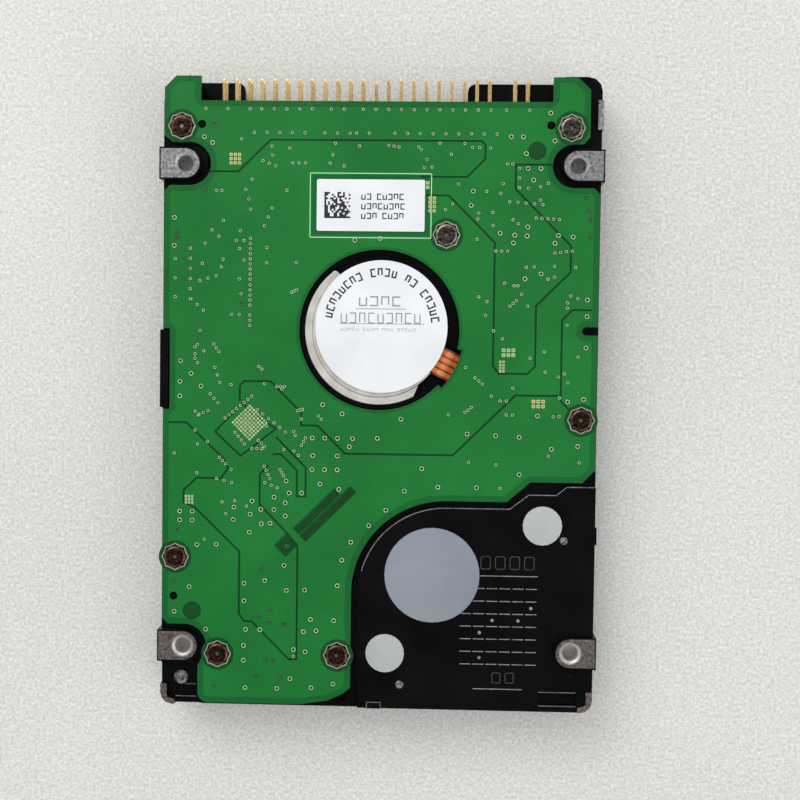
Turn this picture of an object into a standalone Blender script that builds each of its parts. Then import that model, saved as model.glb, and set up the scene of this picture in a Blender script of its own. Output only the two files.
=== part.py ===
"""A 2.5-inch parallel-ATA hard disk drive, lying on its top cover with the circuit board up.

+X is the drive's right side seen from the circuit board, +Y points to the pin connector, and +Z points
out of the circuit board. The origin is the centre of the footprint, on the surface the drive lies on.
All sizes below are in millimetres and become metres where a mesh is made.
"""

import math

import bmesh
import bpy
from mathutils import Matrix, Vector

MM = 0.001

# The standard outline: 69.85 x 100.2 x 9.5, with M3 holes 61.72 x 76.6 apart, 14.0 from the connector end.
WIDTH = 69.85
LENGTH = 100.2
HEIGHT = 9.5
HOLE_X = 61.72 / 2
HOLE_NEAR_Y = LENGTH / 2 - 14.0
HOLE_FAR_Y = HOLE_NEAR_Y - 76.6
HOLE_R = 1.25
SIDE_HOLE_Z = HEIGHT - 3.0

# The two axes of motion.
SPINDLE = (0.0, 10.2)
PIVOT = (8.85, -28.55)
PARKED_DEG = 162.0  # the arm's direction when its heads are on the ramp
GAP = 0.05  # between pieces that touch

# Heights, from the cover's face up.
SHEET = 0.5  # cover sheet
RIM_LOW = 0.75
RIM_TOP = RIM_LOW + SHEET
GASKET_TOP = 1.5
WALL_LOW = GASKET_TOP + GAP
LEDGE_TOP = 2.6
CAVITY_TOP = 6.2
FLOOR_TOP = 7.0
VCM_TOP = 7.3
WALL_TOP = 8.15
BOARD_LOW = 8.2
BOARD_TOP = 9.0
PLATEAU = 8.75
BOSS_TOP = HEIGHT
PLATTER_LOW = 3.25
PLATTER_TOP = PLATTER_LOW + 0.635

# Plan dimensions of the casting.
SIDE_X = 34.5
END_Y = LENGTH / 2
CORNER_R = 2.2
LEFT_CORNER_R = 4.05  # at the connector end, where the board's left corner is cut off
BACK_Y = 44.0  # wall behind the connector
BLOCK_LEFT_X = -29.2  # inner faces of the two corner blocks beside the connector
BLOCK_RIGHT_X = 27.6
NOTCH_LEFT_X = -22.5  # the gap in the low ledge, where the plug's lip goes
NOTCH_RIGHT_X = 13.55
DISC_CAVITY_R = 33.15
POCKET = [(-28.5, -47.2, 4.0), (29.4, -47.2, 4.0), (29.4, -4.0, 1.0), (-28.5, -4.0, 1.0)]
VCM_POCKET = [(5.0, -46.8, 3.0), (28.0, -46.8, 3.0), (28.0, -21.0, 3.0), (5.0, -21.0, 3.0)]

# The circuit board's cut-out for the actuator bay, and its hole for the motor.
BAY_CENTRE = (11.0, -31.7)
BAY_R = 15.0
BAY_STEP = 1.15  # from the board's edge to the plateau's
MOTOR_HOLE_R = 12.65
MOTOR_NOTCH = (11.5, 13.4, -42, -13)  # the hole's bay for the flex: two radii and two angles
BOARD_CUT_R = 3.4  # round end of each corner cut-out
BOSS_R = 2.53  # round end of each mounting boss
BOARD_SCREWS = [(-31.5, 42.0), (29.7, 42.0), (10.4, 25.25), (31.95, -3.6)]
BOARD_SCREWS += [(-32.2, -26.3), (-25.3, -41.8), (-6.15, -41.7)]
BOARD_SCREW_HOLE_R = 1.0
BOARD_SCREW_HEAD_R = 1.7
BOARD_LABEL = ((-10.05, 25.7), (6.95, 33.8))
LOCATING_PINS = [(-28.3, 42.3), (26.5, 42.4), (-32.45, -32.6)]
LOCATING_PIN_R = 0.45
LOCATING_HOLE_R = 0.65

# The cover: six screws, a raised middle that the drive lies on, and a label.
COVER_SCREWS = [(-31.0, 46.3), (31.0, 46.3), (-31.6, -16.0), (31.9, -16.0), (-31.2, -46.6), (31.2, -46.6)]
COVER_SCREW_HEAD_R = 1.9
COVER_RAISED = [(-31.9, -47.6, 3.0), (31.9, -47.6, 3.0), (31.9, 30.0, 3.0)]
COVER_RAISED += [(20.0, 42.4, 5.0), (-20.0, 42.4, 5.0), (-31.9, 30.0, 3.0)]
COVER_LABEL = [(-27.0, -12.0), (27.0, -12.0), (27.0, 28.0), (17.0, 38.5), (-17.0, 38.5), (-27.0, 28.0)]

# Foil seals on the bay: name, centre, radius and facets.
SEALS = [
    ("pivot_seal", PIVOT, 7.55, 40),
    ("vent_seal_upper", (26.2, -20.4), 3.1, 24),
    ("vent_seal_lower", (1.5, -41.2), 3.07, 24),
]

# The actuator, drawn about its pivot with the arm along +X.
ARM_LOW = (2.0, 2.7)  # the arm between cover and disc
ARM_HIGH = (4.435, 5.135)  # the arm between disc and base
BEAM = 0.1  # thickness of a suspension
HEAD_X = 32.0
TAB_X = 34.6
COIL = [(-7.0, -3.3, 1.2), (-7.0, 3.3, 1.2), (-15.3, 6.3, 2.0), (-15.3, -6.3, 2.0)]
COIL_HOLE = [(-9.2, -1.6, 0.6), (-9.2, 1.6, 0.6), (-13.2, 3.0, 0.8), (-13.2, -3.0, 0.8)]
YOKE_START, YOKE_END = -98.5, 22.5
POST_ANGLES = (-92.5, 16.5)
POST_REACH = 15.0
FLEX_END_DEG = PARKED_DEG + 80

LATCH_PIN = (26.2, -42.2)
LATCH_PIN_R = 0.7

# The connector: 25 places 2 mm apart, one of them empty and two of them the jumper block.
PITCH = 2.0
PLACES = 25
EMPTY_PLACE = 22
KEY_PLACE = 12
CONNECTOR_X = -1.07
PIN = 0.5
PIN_TIP_Y = 49.7
ROW_EVEN_Z = 7.4
ROW_ODD_Z = ROW_EVEN_Z - PITCH
HOUSING_BACK_Y = BACK_Y + GAP
HOUSING_FRONT_Y = 45.95

# The motor.
MOTOR_SEAT_R = 11.95
MOTOR_DISC_R = 10.55
MOTOR_RING_R = 11.8
RING_START_DEG = 124.0
RING_END_DEG = 307.0
FLEX_DEG = -26.5
LABEL_CENTRE = (0.33, 10.75)
LABEL_R = 10.45

MATERIALS = {
    "black_coat": ((0.012, 0.012, 0.014), 0.42, 0.0),
    "bare_aluminium": ((0.62, 0.62, 0.63), 0.35, 1.0),
    "solder_mask": ((0.015, 0.17, 0.035), 0.35, 0.0),
    "stainless": ((0.55, 0.55, 0.56), 0.3, 1.0),
    "screw_steel": ((0.13, 0.08, 0.07), 0.35, 1.0),
    "gold": ((0.85, 0.6, 0.25), 0.25, 1.0),
    "black_plastic": ((0.02, 0.02, 0.02), 0.5, 0.0),
    "white_label": ((0.85, 0.86, 0.88), 0.5, 0.0),
    "foil": ((0.6, 0.63, 0.66), 0.45, 1.0),
    "rubber": ((0.03, 0.03, 0.03), 0.8, 0.0),
    "polyimide": ((0.75, 0.3, 0.05), 0.4, 0.0),
    "copper": ((0.8, 0.35, 0.15), 0.3, 1.0),
    "silicon_steel": ((0.3, 0.3, 0.32), 0.4, 1.0),
    "magnet": ((0.45, 0.45, 0.47), 0.25, 1.0),
    "mirror_disc": ((0.8, 0.8, 0.82), 0.05, 1.0),
    "ivory_plastic": ((0.75, 0.72, 0.62), 0.45, 0.0),
    "filter_cloth": ((0.8, 0.8, 0.78), 0.9, 0.0),
    "chip_epoxy": ((0.03, 0.03, 0.032), 0.6, 0.0),
}


# --- Outlines ---------------------------------------------------------------------------------------


def arc(centre, radius, start, end, steps):
    """Points along an arc, both ends included, angles in degrees."""
    angles = [math.radians(start + (end - start) * i / steps) for i in range(steps + 1)]
    return [(centre[0] + radius * math.cos(a), centre[1] + radius * math.sin(a)) for a in angles]


def circle(centre, radius, steps):
    return arc(centre, radius, 0, 360, steps)[:-1]


def rounded(corners, step_deg=30):
    """A closed outline through (x, y, radius) corners, each rounded with an arc of its radius."""
    points = []
    for i, (x, y, radius) in enumerate(corners):
        here = Vector((x, y))
        back = Vector(corners[i - 1][:2]) - here
        ahead = Vector(corners[(i + 1) % len(corners)][:2]) - here
        if radius == 0:
            points.append((x, y))
            continue
        half = back.angle(ahead) / 2
        centre = here + (back.normalized() + ahead.normalized()).normalized() * (radius / math.sin(half))
        first = here + back.normalized() * (radius / math.tan(half)) - centre
        last = here + ahead.normalized() * (radius / math.tan(half)) - centre
        turn = first.angle_signed(last)
        steps = max(2, round(abs(math.degrees(turn)) / step_deg))
        for k in range(steps + 1):
            spoke = Matrix.Rotation(-turn * k / steps, 2) @ first
            points.append(tuple(centre + spoke))
    return points


def sector(centre, inner, outer, start, end, steps):
    """A ring's sector between two angles."""
    return arc(centre, outer, start, end, steps) + arc(centre, inner, end, start, steps)


def turned(points, angle_deg, centre):
    """Points given in a frame along +X, turned and moved to a centre."""
    matrix = Matrix.Rotation(math.radians(angle_deg), 2)
    return [tuple(matrix @ Vector(p) + Vector(centre)) for p in points]


def boss_outline(x, y, radius, edge_x):
    """A D shape: a round end towards the middle, and straight sides to edge_x."""
    start = 90 if x > 0 else -90
    end = arc((x, y), radius, start, start + 180, 10)
    return end + [(edge_x, end[-1][1]), (edge_x, end[0][1])]


# --- Solids -----------------------------------------------------------------------------------------


def add(name, mesh, material=None):
    """A new object from a bmesh."""
    bmesh.ops.remove_doubles(mesh, verts=mesh.verts, dist=1e-7)
    bmesh.ops.recalc_face_normals(mesh, faces=mesh.faces)
    data = bpy.data.meshes.new(name)
    mesh.to_mesh(data)
    mesh.free()
    made = bpy.data.objects.new(name, data)
    bpy.context.scene.collection.objects.link(made)
    if material:
        data.materials.append(bpy.data.materials[material])
    return made


def prism(outline, low, high, name="tool", material=None):
    """An outline extruded from one height to another."""
    mesh = bmesh.new()
    corners = [mesh.verts.new((x * MM, y * MM, low * MM)) for x, y in outline]
    base = mesh.faces.new(corners)
    grown = bmesh.ops.extrude_face_region(mesh, geom=[base])
    raised = [v for v in grown["geom"] if isinstance(v, bmesh.types.BMVert)]
    bmesh.ops.translate(mesh, verts=raised, vec=(0, 0, (high - low) * MM))
    return add(name, mesh, material)


def box(low, high, **how):
    corners = [(low[0], low[1]), (high[0], low[1]), (high[0], high[1]), (low[0], high[1])]
    return prism(corners, low[2], high[2], **how)


def disc(centre, radius, low, high, steps=24, **how):
    return prism(circle(centre, radius, steps), low, high, **how)


def lathe(profile, steps, centre=(0.0, 0.0), name="tool", material=None):
    """A closed (radius, height) profile turned about a vertical axis. Points at radius 0 lie on the axis."""
    mesh = bmesh.new()
    rings = []
    for radius, height in profile:
        if radius == 0:
            rings.append([mesh.verts.new((centre[0] * MM, centre[1] * MM, height * MM))] * steps)
        else:
            around = circle(centre, radius, steps)
            rings.append([mesh.verts.new((x * MM, y * MM, height * MM)) for x, y in around])
    for i, ring in enumerate(rings):
        above = rings[(i + 1) % len(rings)]
        for k in range(steps):
            corners = [ring[k], ring[(k + 1) % steps], above[(k + 1) % steps], above[k]]
            unique = list(dict.fromkeys(corners))
            if len(unique) > 2:
                mesh.faces.new(unique)
    return add(name, mesh, material)


def strip(path, width, thickness, direction_deg, start, name, material):
    """A thin sheet that follows (distance, height) points away from start, width across."""
    along = Vector((math.cos(math.radians(direction_deg)), math.sin(math.radians(direction_deg))))
    across = Vector((-along.y, along.x)) * width / 2
    mesh = bmesh.new()
    loops = []
    for distance, height in path:
        middle = Vector(start) + along * distance
        corners = [(middle + across, height), (middle - across, height)]
        corners += [(middle - across, height + thickness), (middle + across, height + thickness)]
        loops.append([mesh.verts.new((p.x * MM, p.y * MM, z * MM)) for p, z in corners])
    for first, second in zip(loops, loops[1:]):
        for k in range(4):
            mesh.faces.new([first[k], first[(k + 1) % 4], second[(k + 1) % 4], second[k]])
    mesh.faces.new(loops[0])
    mesh.faces.new(loops[-1])
    return add(name, mesh, material)


def ribbon(path, thickness, low, high, name, material):
    """A thin band standing on edge that follows plan points."""
    sides = ([], [])
    for i, point in enumerate(path):
        before = Vector(path[max(i - 1, 0)])
        after = Vector(path[min(i + 1, len(path) - 1)])
        normal = (after - before).normalized().orthogonal() * thickness / 2
        sides[0].append(tuple(Vector(point) + normal))
        sides[1].append(tuple(Vector(point) - normal))
    return prism(sides[0] + sides[1][::-1], low, high, name=name, material=material)


def apply_boolean(body, tool, operation):
    """Cuts a tool out of a body, or joins it on, and removes the tool."""
    modifier = body.modifiers.new(operation, "BOOLEAN")
    modifier.operation = operation
    modifier.solver = "EXACT"
    modifier.object = tool
    graph = bpy.context.evaluated_depsgraph_get()
    result = bpy.data.meshes.new_from_object(body.evaluated_get(graph))
    body.modifiers.clear()
    old = body.data
    result.name = body.name
    body.data = result
    bpy.data.meshes.remove(old)
    bpy.data.objects.remove(tool)


def cut(body, *tools):
    for tool in tools:
        apply_boolean(body, tool, "DIFFERENCE")
    return body


def join(body, *tools):
    for tool in tools:
        apply_boolean(body, tool, "UNION")
    return body


def several(tools):
    """Tools that don't touch each other, as one tool, so that one Boolean does them all."""
    mesh = bmesh.new()
    for tool in tools:
        mesh.from_mesh(tool.data)
        bpy.data.objects.remove(tool)
    return add("tool", mesh)


# --- Outlines shared by several pieces --------------------------------------------------------------


def end_outline(left, right, back, inset=0.0):
    """The drive's plan outline, with a gap in the connector end from left to right, back to a depth."""
    side, end = SIDE_X - inset, END_Y - inset
    inner = 1.2
    return rounded(
        [
            (-side, -end, CORNER_R),
            (side, -end, CORNER_R),
            (side, end, CORNER_R),
            (right + inset, end, inner),
            (right + inset, back - inset, 0.5),
            (left - inset, back - inset, 0.5),
            (left - inset, end, inner),
            (-side, end, LEFT_CORNER_R),
        ]
    )


def cavity_tools(extra, low, high):
    """The inside of the casting: the disc's round chamber and the actuator's pocket."""
    pocket = [(x + math.copysign(extra, x), y - extra if y < -10 else y, r) for x, y, r in POCKET]
    return [disc(SPINDLE, DISC_CAVITY_R + extra, low, high, 40), prism(rounded(pocket), low, high)]


def board_outline():
    """The circuit board's edge, anticlockwise from its lower left corner."""
    near_cut, far_cut = 30.25, 30.6
    bay_left_x = BAY_CENTRE[0] - BAY_R
    bay_top_y = BAY_CENTRE[1] + BAY_R
    lower_left = arc((-26.8, -48.0), 1.7, 180, 270, 4) + [(-12.0, -49.7), (-7.6, -49.0), (-5.4, -48.0)]
    bay = [(bay_left_x, -46.9)] + arc(BAY_CENTRE, BAY_R, 180, 90, 16)
    right_side = [(20.5, bay_top_y), (24.2, -13.5), (32.3, -13.5), (34.35, -11.4)]
    slot = [(34.35, 9.75)] + arc((32.5, 10.4), 0.65, -90, -270, 6) + [(34.35, 11.05)]
    right_cut = [(34.35, 31.7), (33.4, HOLE_NEAR_Y - BOARD_CUT_R)]
    right_cut += arc((near_cut, HOLE_NEAR_Y), BOARD_CUT_R, -90, -270, 12)
    right_cut += [(31.6, HOLE_NEAR_Y + BOARD_CUT_R)]
    right_tab = [(32.6, 40.6), (32.6, 47.9), (30.6, 49.85), (26.8, 49.85), (26.8, 46.0)]
    left_tab = [(-28.5, 46.0), (-28.5, 49.85), (-32.4, 49.85), (-34.25, 48.0), (-34.25, 40.6)]
    left_cut = [(-33.0, HOLE_NEAR_Y + BOARD_CUT_R)]
    left_cut += arc((-near_cut, HOLE_NEAR_Y), BOARD_CUT_R, 90, -90, 12) + [(-33.4, HOLE_NEAR_Y - BOARD_CUT_R)]
    rib_notch = [(-34.3, 31.7), (-34.3, 10.1), (-33.25, 10.1), (-33.25, -2.7), (-34.3, -2.7), (-34.3, -36.1)]
    far_left = [(-33.4, HOLE_FAR_Y + BOARD_CUT_R)]
    far_left += arc((-far_cut, HOLE_FAR_Y), BOARD_CUT_R, 90, 0, 6) + [(-27.4, -41.6), (-28.5, -43.8)]
    right = right_side + slot + right_cut + right_tab
    left = left_tab + left_cut + rib_notch + far_left
    return lower_left + bay + right + left


# --- The casting ------------------------------------------------------------------------------------


def mounting_bosses(body):
    """Four D-shaped bosses with threaded holes, and the pads on the drive's sides with theirs."""
    for y in (HOLE_NEAR_Y, HOLE_FAR_Y):
        for side in (-1, 1):
            edge_x = side * WIDTH / 2
            join(body, prism(boss_outline(side * HOLE_X, y, BOSS_R, edge_x), 4.0, BOSS_TOP))
            hole = [(0, 6.3), (HOLE_R, 6.5), (HOLE_R, BOSS_TOP - 0.35), (HOLE_R + 0.5, BOSS_TOP + 0.15)]
            cut(body, lathe(hole + [(0, BOSS_TOP + 0.15)], 16, (side * HOLE_X, y)))
            side_hole = disc((0, 0), HOLE_R, 0, 3.0, 12)
            turn = Matrix.Translation(Vector((side * (WIDTH / 2 - 2.5), y, SIDE_HOLE_Z)) * MM)
            side_hole.data.transform(turn @ Matrix.Rotation(side * math.pi / 2, 4, "Y"))
            cut(body, side_hole)


def motor_seat(body):
    """A ring wall around the motor, its counterbore, the half ledge and the flex's way out."""
    join(body, disc(SPINDLE, 12.5, FLOOR_TOP - 0.4, 8.3, 48))
    cut(body, disc(SPINDLE, MOTOR_SEAT_R, 7.2, PLATEAU + 1, 48))
    cut(body, disc(SPINDLE, 8.2, 5.0, PLATEAU, 36))
    ledge = sector(SPINDLE, MOTOR_DISC_R + 0.15, MOTOR_SEAT_R + 0.2, RING_END_DEG - 360, RING_START_DEG, 24)
    join(body, prism(ledge, 7.1, 7.9))
    channel = turned([(9.0, -2.7), (18.5, -2.7), (18.5, 2.7), (9.0, 2.7)], FLEX_DEG, SPINDLE)
    cut(body, prism(channel, 7.55, PLATEAU + 1))


def board_recess(body):
    """Lowers the casting under the circuit board, leaving the actuator bay standing as a plateau."""
    lip_r = BAY_R - BAY_STEP
    left_x = BAY_CENTRE[0] - lip_r
    edge = [(left_x, -60.0)] + arc(BAY_CENTRE, lip_r, 180, 90, 16)
    edge += [(21.0, BAY_CENTRE[1] + lip_r), (24.0, -15.55), (28.3, -15.55), (30.0, -14.2), (40.0, -14.2)]
    cut(body, prism(edge + [(40.0, 60.0), (-40.0, 60.0), (-40.0, -60.0)], WALL_TOP, PLATEAU + 2))
    inner = rounded(
        [
            (-27.6, -47.6, 2.0),
            (left_x - 1.5, -47.6, 1.0),
            (left_x - 1.5, -33.0, 0),
            (-2.6, -25.0, 0),
            (3.5, -18.2, 0),
            (10.5, -15.2, 0),
            (20.0, -15.2, 1.0),
            (23.5, -12.0, 1.0),
            (31.0, -12.0, 1.0),
            (31.0, 31.0, 2.0),
            (25.5, 31.5, 1.0),
            (25.5, 60.0, 0),
            (-27.5, 60.0, 0),
            (-27.5, 31.5, 1.0),
            (-32.6, 31.5, 1.5),
            (-32.6, -36.0, 1.5),
            (-27.6, -36.6, 1.0),
        ]
    )
    cut(body, prism(inner, FLOOR_TOP, PLATEAU + 2))


def screw_posts(body):
    """Posts and blind holes for the circuit board's and the cover's screws, and the board's locating pins."""
    join(body, several([disc(at, 2.15, 6.5, WALL_TOP, 14) for at in BOARD_SCREWS]))
    cut(body, several([disc(at, 0.85, 6.75, WALL_TOP + 1, 10) for at in BOARD_SCREWS]))
    join(body, several([disc(at, LOCATING_PIN_R, 7.6, BOARD_TOP - 0.1, 8) for at in LOCATING_PINS]))
    cut(body, several([disc(at, 0.85, 0.5, 5.2, 10) for at in COVER_SCREWS]))
    join(body, disc(LATCH_PIN, LATCH_PIN_R, 1.6, VCM_TOP + 0.2, 16))


def bay_details(body):
    """The small cast features around the actuator bay, the far end and the sides."""
    far_groove = box((-32.2, -49.1, 7.45), (-4.6, -47.1, 9.0))
    right_groove = box((26.0, -49.1, 8.1), (32.0, -47.0, 9.5))
    cut(body, far_groove, right_groove)
    left_corner = rounded([(-40, -60, 0), (-28.0, -60, 0), (-28.0, -43.6, 0.8), (-40, -43.6, 0)])
    cut(body, prism(left_corner, 7.75, 9.0))
    dimple = lathe([(0, 7.35), (0.9, 7.35), (1.15, 7.8), (1.15, 8.2), (0, 8.2)], 14, (-31.4, -46.0))
    cut(body, dimple)
    posts = [((29.6, -22.7), 0.65, 9.05), ((3.9, -46.2), 0.7, 9.0), ((31.0, -44.2), 0.3, 8.95)]
    for at, radius, top in posts:
        post = [(0, 8.0), (radius, 8.0), (radius, top - 0.15), (radius * 0.6, top), (0, top)]
        join(body, lathe(post, 14, at))
    rib = [(-34.75, -2.45, 0.2), (-33.45, -2.45, 0.4), (-33.45, 9.9, 0.4), (-34.75, 9.9, 0.2)]
    join(body, prism(rounded(rib), 7.6, 9.15))
    machined_strip = box((33.8, 41.8, 6.5), (34.65, 46.4, 8.75))
    side_pad = box((34.2, -23.4, 4.4), (34.85, -20.7, 8.0))
    far_tab = box((-1.4, -50.1, 7.0), (1.0, -49.0, 9.0))
    join(body, machined_strip, side_pad, far_tab)
    for side in (-1, 1):
        corner = [(side * 34.5, -46.8, 0), (side * 34.5, -50.1, 1.9), (side * 32.2, -50.1, 0)]
        corner += [(side * 32.2, -49.3, 0.0), (side * 33.5, -49.0, 0.6), (side * 33.5, -46.8, 0)]
        join(body, prism(rounded(corner), 7.0, 8.95))


def seal_seats(body):
    """Holes through the bay's floor that the foil seals cover, and the pivot's screw hole."""
    cut(body, lathe([(0, 5.0), (2.05, 5.0), (2.05, 8.05), (3.4, 8.05), (3.4, 9.5), (0, 9.5)], 20, PIVOT))
    upper_at = SEALS[1][1]
    cut(body, disc(upper_at, 1.6, 5.0, 9.5, 14))
    lower_hole = [(0.3, -42.3, 0.9), (2.8, -42.3, 0.9), (2.8, -40.2, 0.9), (0.3, -40.2, 0.9)]
    cut(body, prism(rounded(lower_hole), 5.0, 9.5))


def base_casting():
    low = end_outline(NOTCH_LEFT_X, NOTCH_RIGHT_X, BACK_Y)
    high = end_outline(BLOCK_LEFT_X, BLOCK_RIGHT_X, BACK_Y)
    body = prism(high, WALL_LOW, PLATEAU, name="base_casting", material="black_coat")
    join(body, prism(low, WALL_LOW, LEDGE_TOP))
    board_recess(body)
    mounting_bosses(body)
    cut(body, *cavity_tools(0.0, 0.5, CAVITY_TOP))
    cut(body, prism(rounded(VCM_POCKET), 0.6, VCM_TOP))
    motor_seat(body)
    screw_posts(body)
    bay_details(body)
    seal_seats(body)
    corners = [(-18.6, -41.4), (-11.4, -41.4), (-11.4, -38.6), (-18.6, -38.6)]
    feedthrough = rounded([(x, y, 0.8) for x, y in corners])
    cut(body, prism(feedthrough, 5.0, 9.0))
    return body


# --- Cover, gasket, screws --------------------------------------------------------------------------


def torx_tool(at, radius, low, high):
    """A six-lobed socket."""
    points = []
    for i in range(12):
        angle = math.pi / 6 * i
        reach = radius * (0.84 + 0.16 * math.cos(6 * angle))
        points.append((at[0] + reach * math.cos(angle), at[1] + reach * math.sin(angle)))
    return prism(points, low, high)


def screw(name, at, head_radius, head_low, head_top, tip, socket_radius):
    """A pan-head screw. head_top is the outer face of its head, and tip is the end of its shank."""
    up = math.copysign(1, head_top - head_low)
    profile = [(0, tip), (0.75, tip), (0.75, head_low), (head_radius, head_low)]
    profile += [(head_radius, head_low + 0.25 * up), (head_radius * 0.8, head_top), (0, head_top)]
    body = lathe(profile, 12, at, name=name, material="screw_steel")
    socket = torx_tool(at, socket_radius, min(head_top, head_low) - 0.02, max(head_top, head_low) + 0.02)
    socket.location.z = 0.14 * up * MM
    bpy.context.view_layer.update()
    return cut(body, socket)


def cover_screw_clearance(extra, low, high):
    return several([disc(at, 2.4 + extra, low, high, 14) for at in COVER_SCREWS])


def top_cover():
    """A stamped sheet: a rim on the casting, and a raised middle that the drive lies on."""
    rim = end_outline(NOTCH_LEFT_X, NOTCH_RIGHT_X, BACK_Y, 0.35)
    cover = prism(rim, RIM_LOW, RIM_TOP, name="top_cover", material="stainless")
    outer = prism(rounded(COVER_RAISED), 0.0, RIM_TOP)
    cut(outer, cover_screw_clearance(0.0, -1, RIM_TOP + 1))
    join(cover, outer)
    hollow_outline = [(x * 0.985, y + math.copysign(SHEET, -y), r - SHEET) for x, y, r in COVER_RAISED]
    hollow = prism(rounded(hollow_outline), SHEET, RIM_TOP + 1)
    cut(hollow, cover_screw_clearance(0.5, -1, RIM_TOP + 2))
    cut(cover, hollow)
    cut(cover, prism(label_outline(0.4), -1, 0.15))
    pressed_ring = lathe([(14.6, -1), (14.6, 0.12), (15.4, 0.12), (15.4, -1)], 36, (0.0, -29.5))
    screw_holes = several([disc(at, 1.0, -1, 3, 10) for at in COVER_SCREWS])
    breather_hole = disc((24.0, -20.0), 0.6, -1, 3, 12)
    return cut(cover, pressed_ring, screw_holes, breather_hole)


def label_outline(extra):
    """The printed label's shape on the cover."""
    return rounded([(x + math.copysign(extra, x), y + math.copysign(extra, y), 2.0) for x, y in COVER_LABEL])


def cover_gasket():
    outline = end_outline(NOTCH_LEFT_X, NOTCH_RIGHT_X, BACK_Y, 0.45)
    ring = prism(outline, RIM_TOP + GAP, GASKET_TOP, name="cover_gasket", material="rubber")
    cut(ring, *cavity_tools(0.15, 0, 3))
    return cut(ring, several([disc(at, 1.1, 0, 3, 10) for at in COVER_SCREWS]))


def cover_parts():
    top_cover()
    cover_gasket()
    prism(label_outline(0.0), 0.04, 0.12, name="cover_label", material="white_label")
    for i, at in enumerate(COVER_SCREWS, 1):
        screw(f"cover_screw_{i}", at, COVER_SCREW_HEAD_R, RIM_LOW - GAP, 0.2, 4.6, 0.8)


# --- Circuit board ----------------------------------------------------------------------------------


def circuit_board():
    board = prism(board_outline(), BOARD_LOW, BOARD_TOP, name="circuit_board", material="solder_mask")
    cut(board, disc(SPINDLE, MOTOR_HOLE_R, 7, 10, 48))
    cut(board, prism(sector(SPINDLE, *MOTOR_NOTCH, 8), 7, 10))
    cut(board, several([disc(at, BOARD_SCREW_HOLE_R, 7, 10, 12) for at in BOARD_SCREWS]))
    return cut(board, several([disc(at, LOCATING_HOLE_R, 7, 10, 10) for at in LOCATING_PINS]))


def chip(name, at, size, turn_deg, thickness):
    """A moulded package on the board's inner face, with its first corner cut."""
    w, h = size[0] / 2, size[1] / 2
    corners = [(-w, -h), (w, -h), (w, h), (-w + 0.8, h), (-w, h - 0.8)]
    top = BOARD_LOW - GAP
    prism(turned(corners, turn_deg, at), top - thickness, top, name=name, material="chip_epoxy")


def board_parts():
    circuit_board()
    chip("controller_chip", (-20.4, -4.9), (12.0, 12.0), 42, 0.9)
    chip("motor_driver_chip", (20.5, 3.0), (7.0, 7.0), 0, 0.85)
    chip("memory_chip", (-19.5, 22.0), (8.0, 11.0), 0, 0.85)
    low, high = BOARD_LABEL
    box((*low, BOARD_TOP + 0.02), (*high, BOARD_TOP + 0.12), name="board_label", material="white_label")
    for i, at in enumerate(BOARD_SCREWS, 1):
        screw(f"board_screw_{i}", at, BOARD_SCREW_HEAD_R, BOARD_TOP + GAP, BOSS_TOP - 0.05, 6.9, 0.75)


# --- Connector --------------------------------------------------------------------------------------


def places():
    """The x of each connector place from left to right, without the empty one."""
    left = CONNECTOR_X - PITCH * (PLACES - 1) / 2
    return [left + PITCH * i for i in range(PLACES) if i != EMPTY_PLACE]


def pin_row(name, z, missing=None):
    """One row of pins, joined behind the housing by the strip they are stamped from."""
    xs = places()
    half = PIN / 2
    points = [(xs[-1] + 0.6, HOUSING_BACK_Y + 0.45), (xs[-1] + 0.6, HOUSING_BACK_Y + 0.05)]
    points += [(xs[0] - 0.6, HOUSING_BACK_Y + 0.05), (xs[0] - 0.6, HOUSING_BACK_Y + 0.45)]
    for i, x in enumerate(xs):
        if i == missing:
            continue
        points += [(x - half, HOUSING_BACK_Y + 0.45), (x - half, PIN_TIP_Y), (x + half, PIN_TIP_Y)]
        points += [(x + half, HOUSING_BACK_Y + 0.45)]
    prism(points, z - half, z + half, name=name, material="gold")


def connector():
    xs = places()
    body = box(
        (xs[0] - 2.2, HOUSING_BACK_Y, 4.35),
        (xs[-1] + 2.2, HOUSING_FRONT_Y, WALL_TOP),
        name="connector_housing",
        material="black_plastic",
    )
    half = PIN / 2 + 0.03
    behind, front = HOUSING_BACK_Y - 1, HOUSING_FRONT_Y + 1
    holes, grooves = [], []
    for z in (ROW_EVEN_Z, ROW_ODD_Z):
        low, high = z - half, z + half
        grooves.append(box((xs[0] - 0.7, behind, low), (xs[-1] + 0.7, HOUSING_BACK_Y + 0.5, high)))
        holes += [box((x - half, HOUSING_BACK_Y + 0.2, low), (x + half, front, high)) for x in xs]
    cut(body, several(grooves))
    cut(body, several(holes))
    pin_row("pin_row_even", ROW_EVEN_Z, KEY_PLACE)
    pin_row("pin_row_odd", ROW_ODD_Z)


# --- Spindle motor ----------------------------------------------------------------------------------


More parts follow.
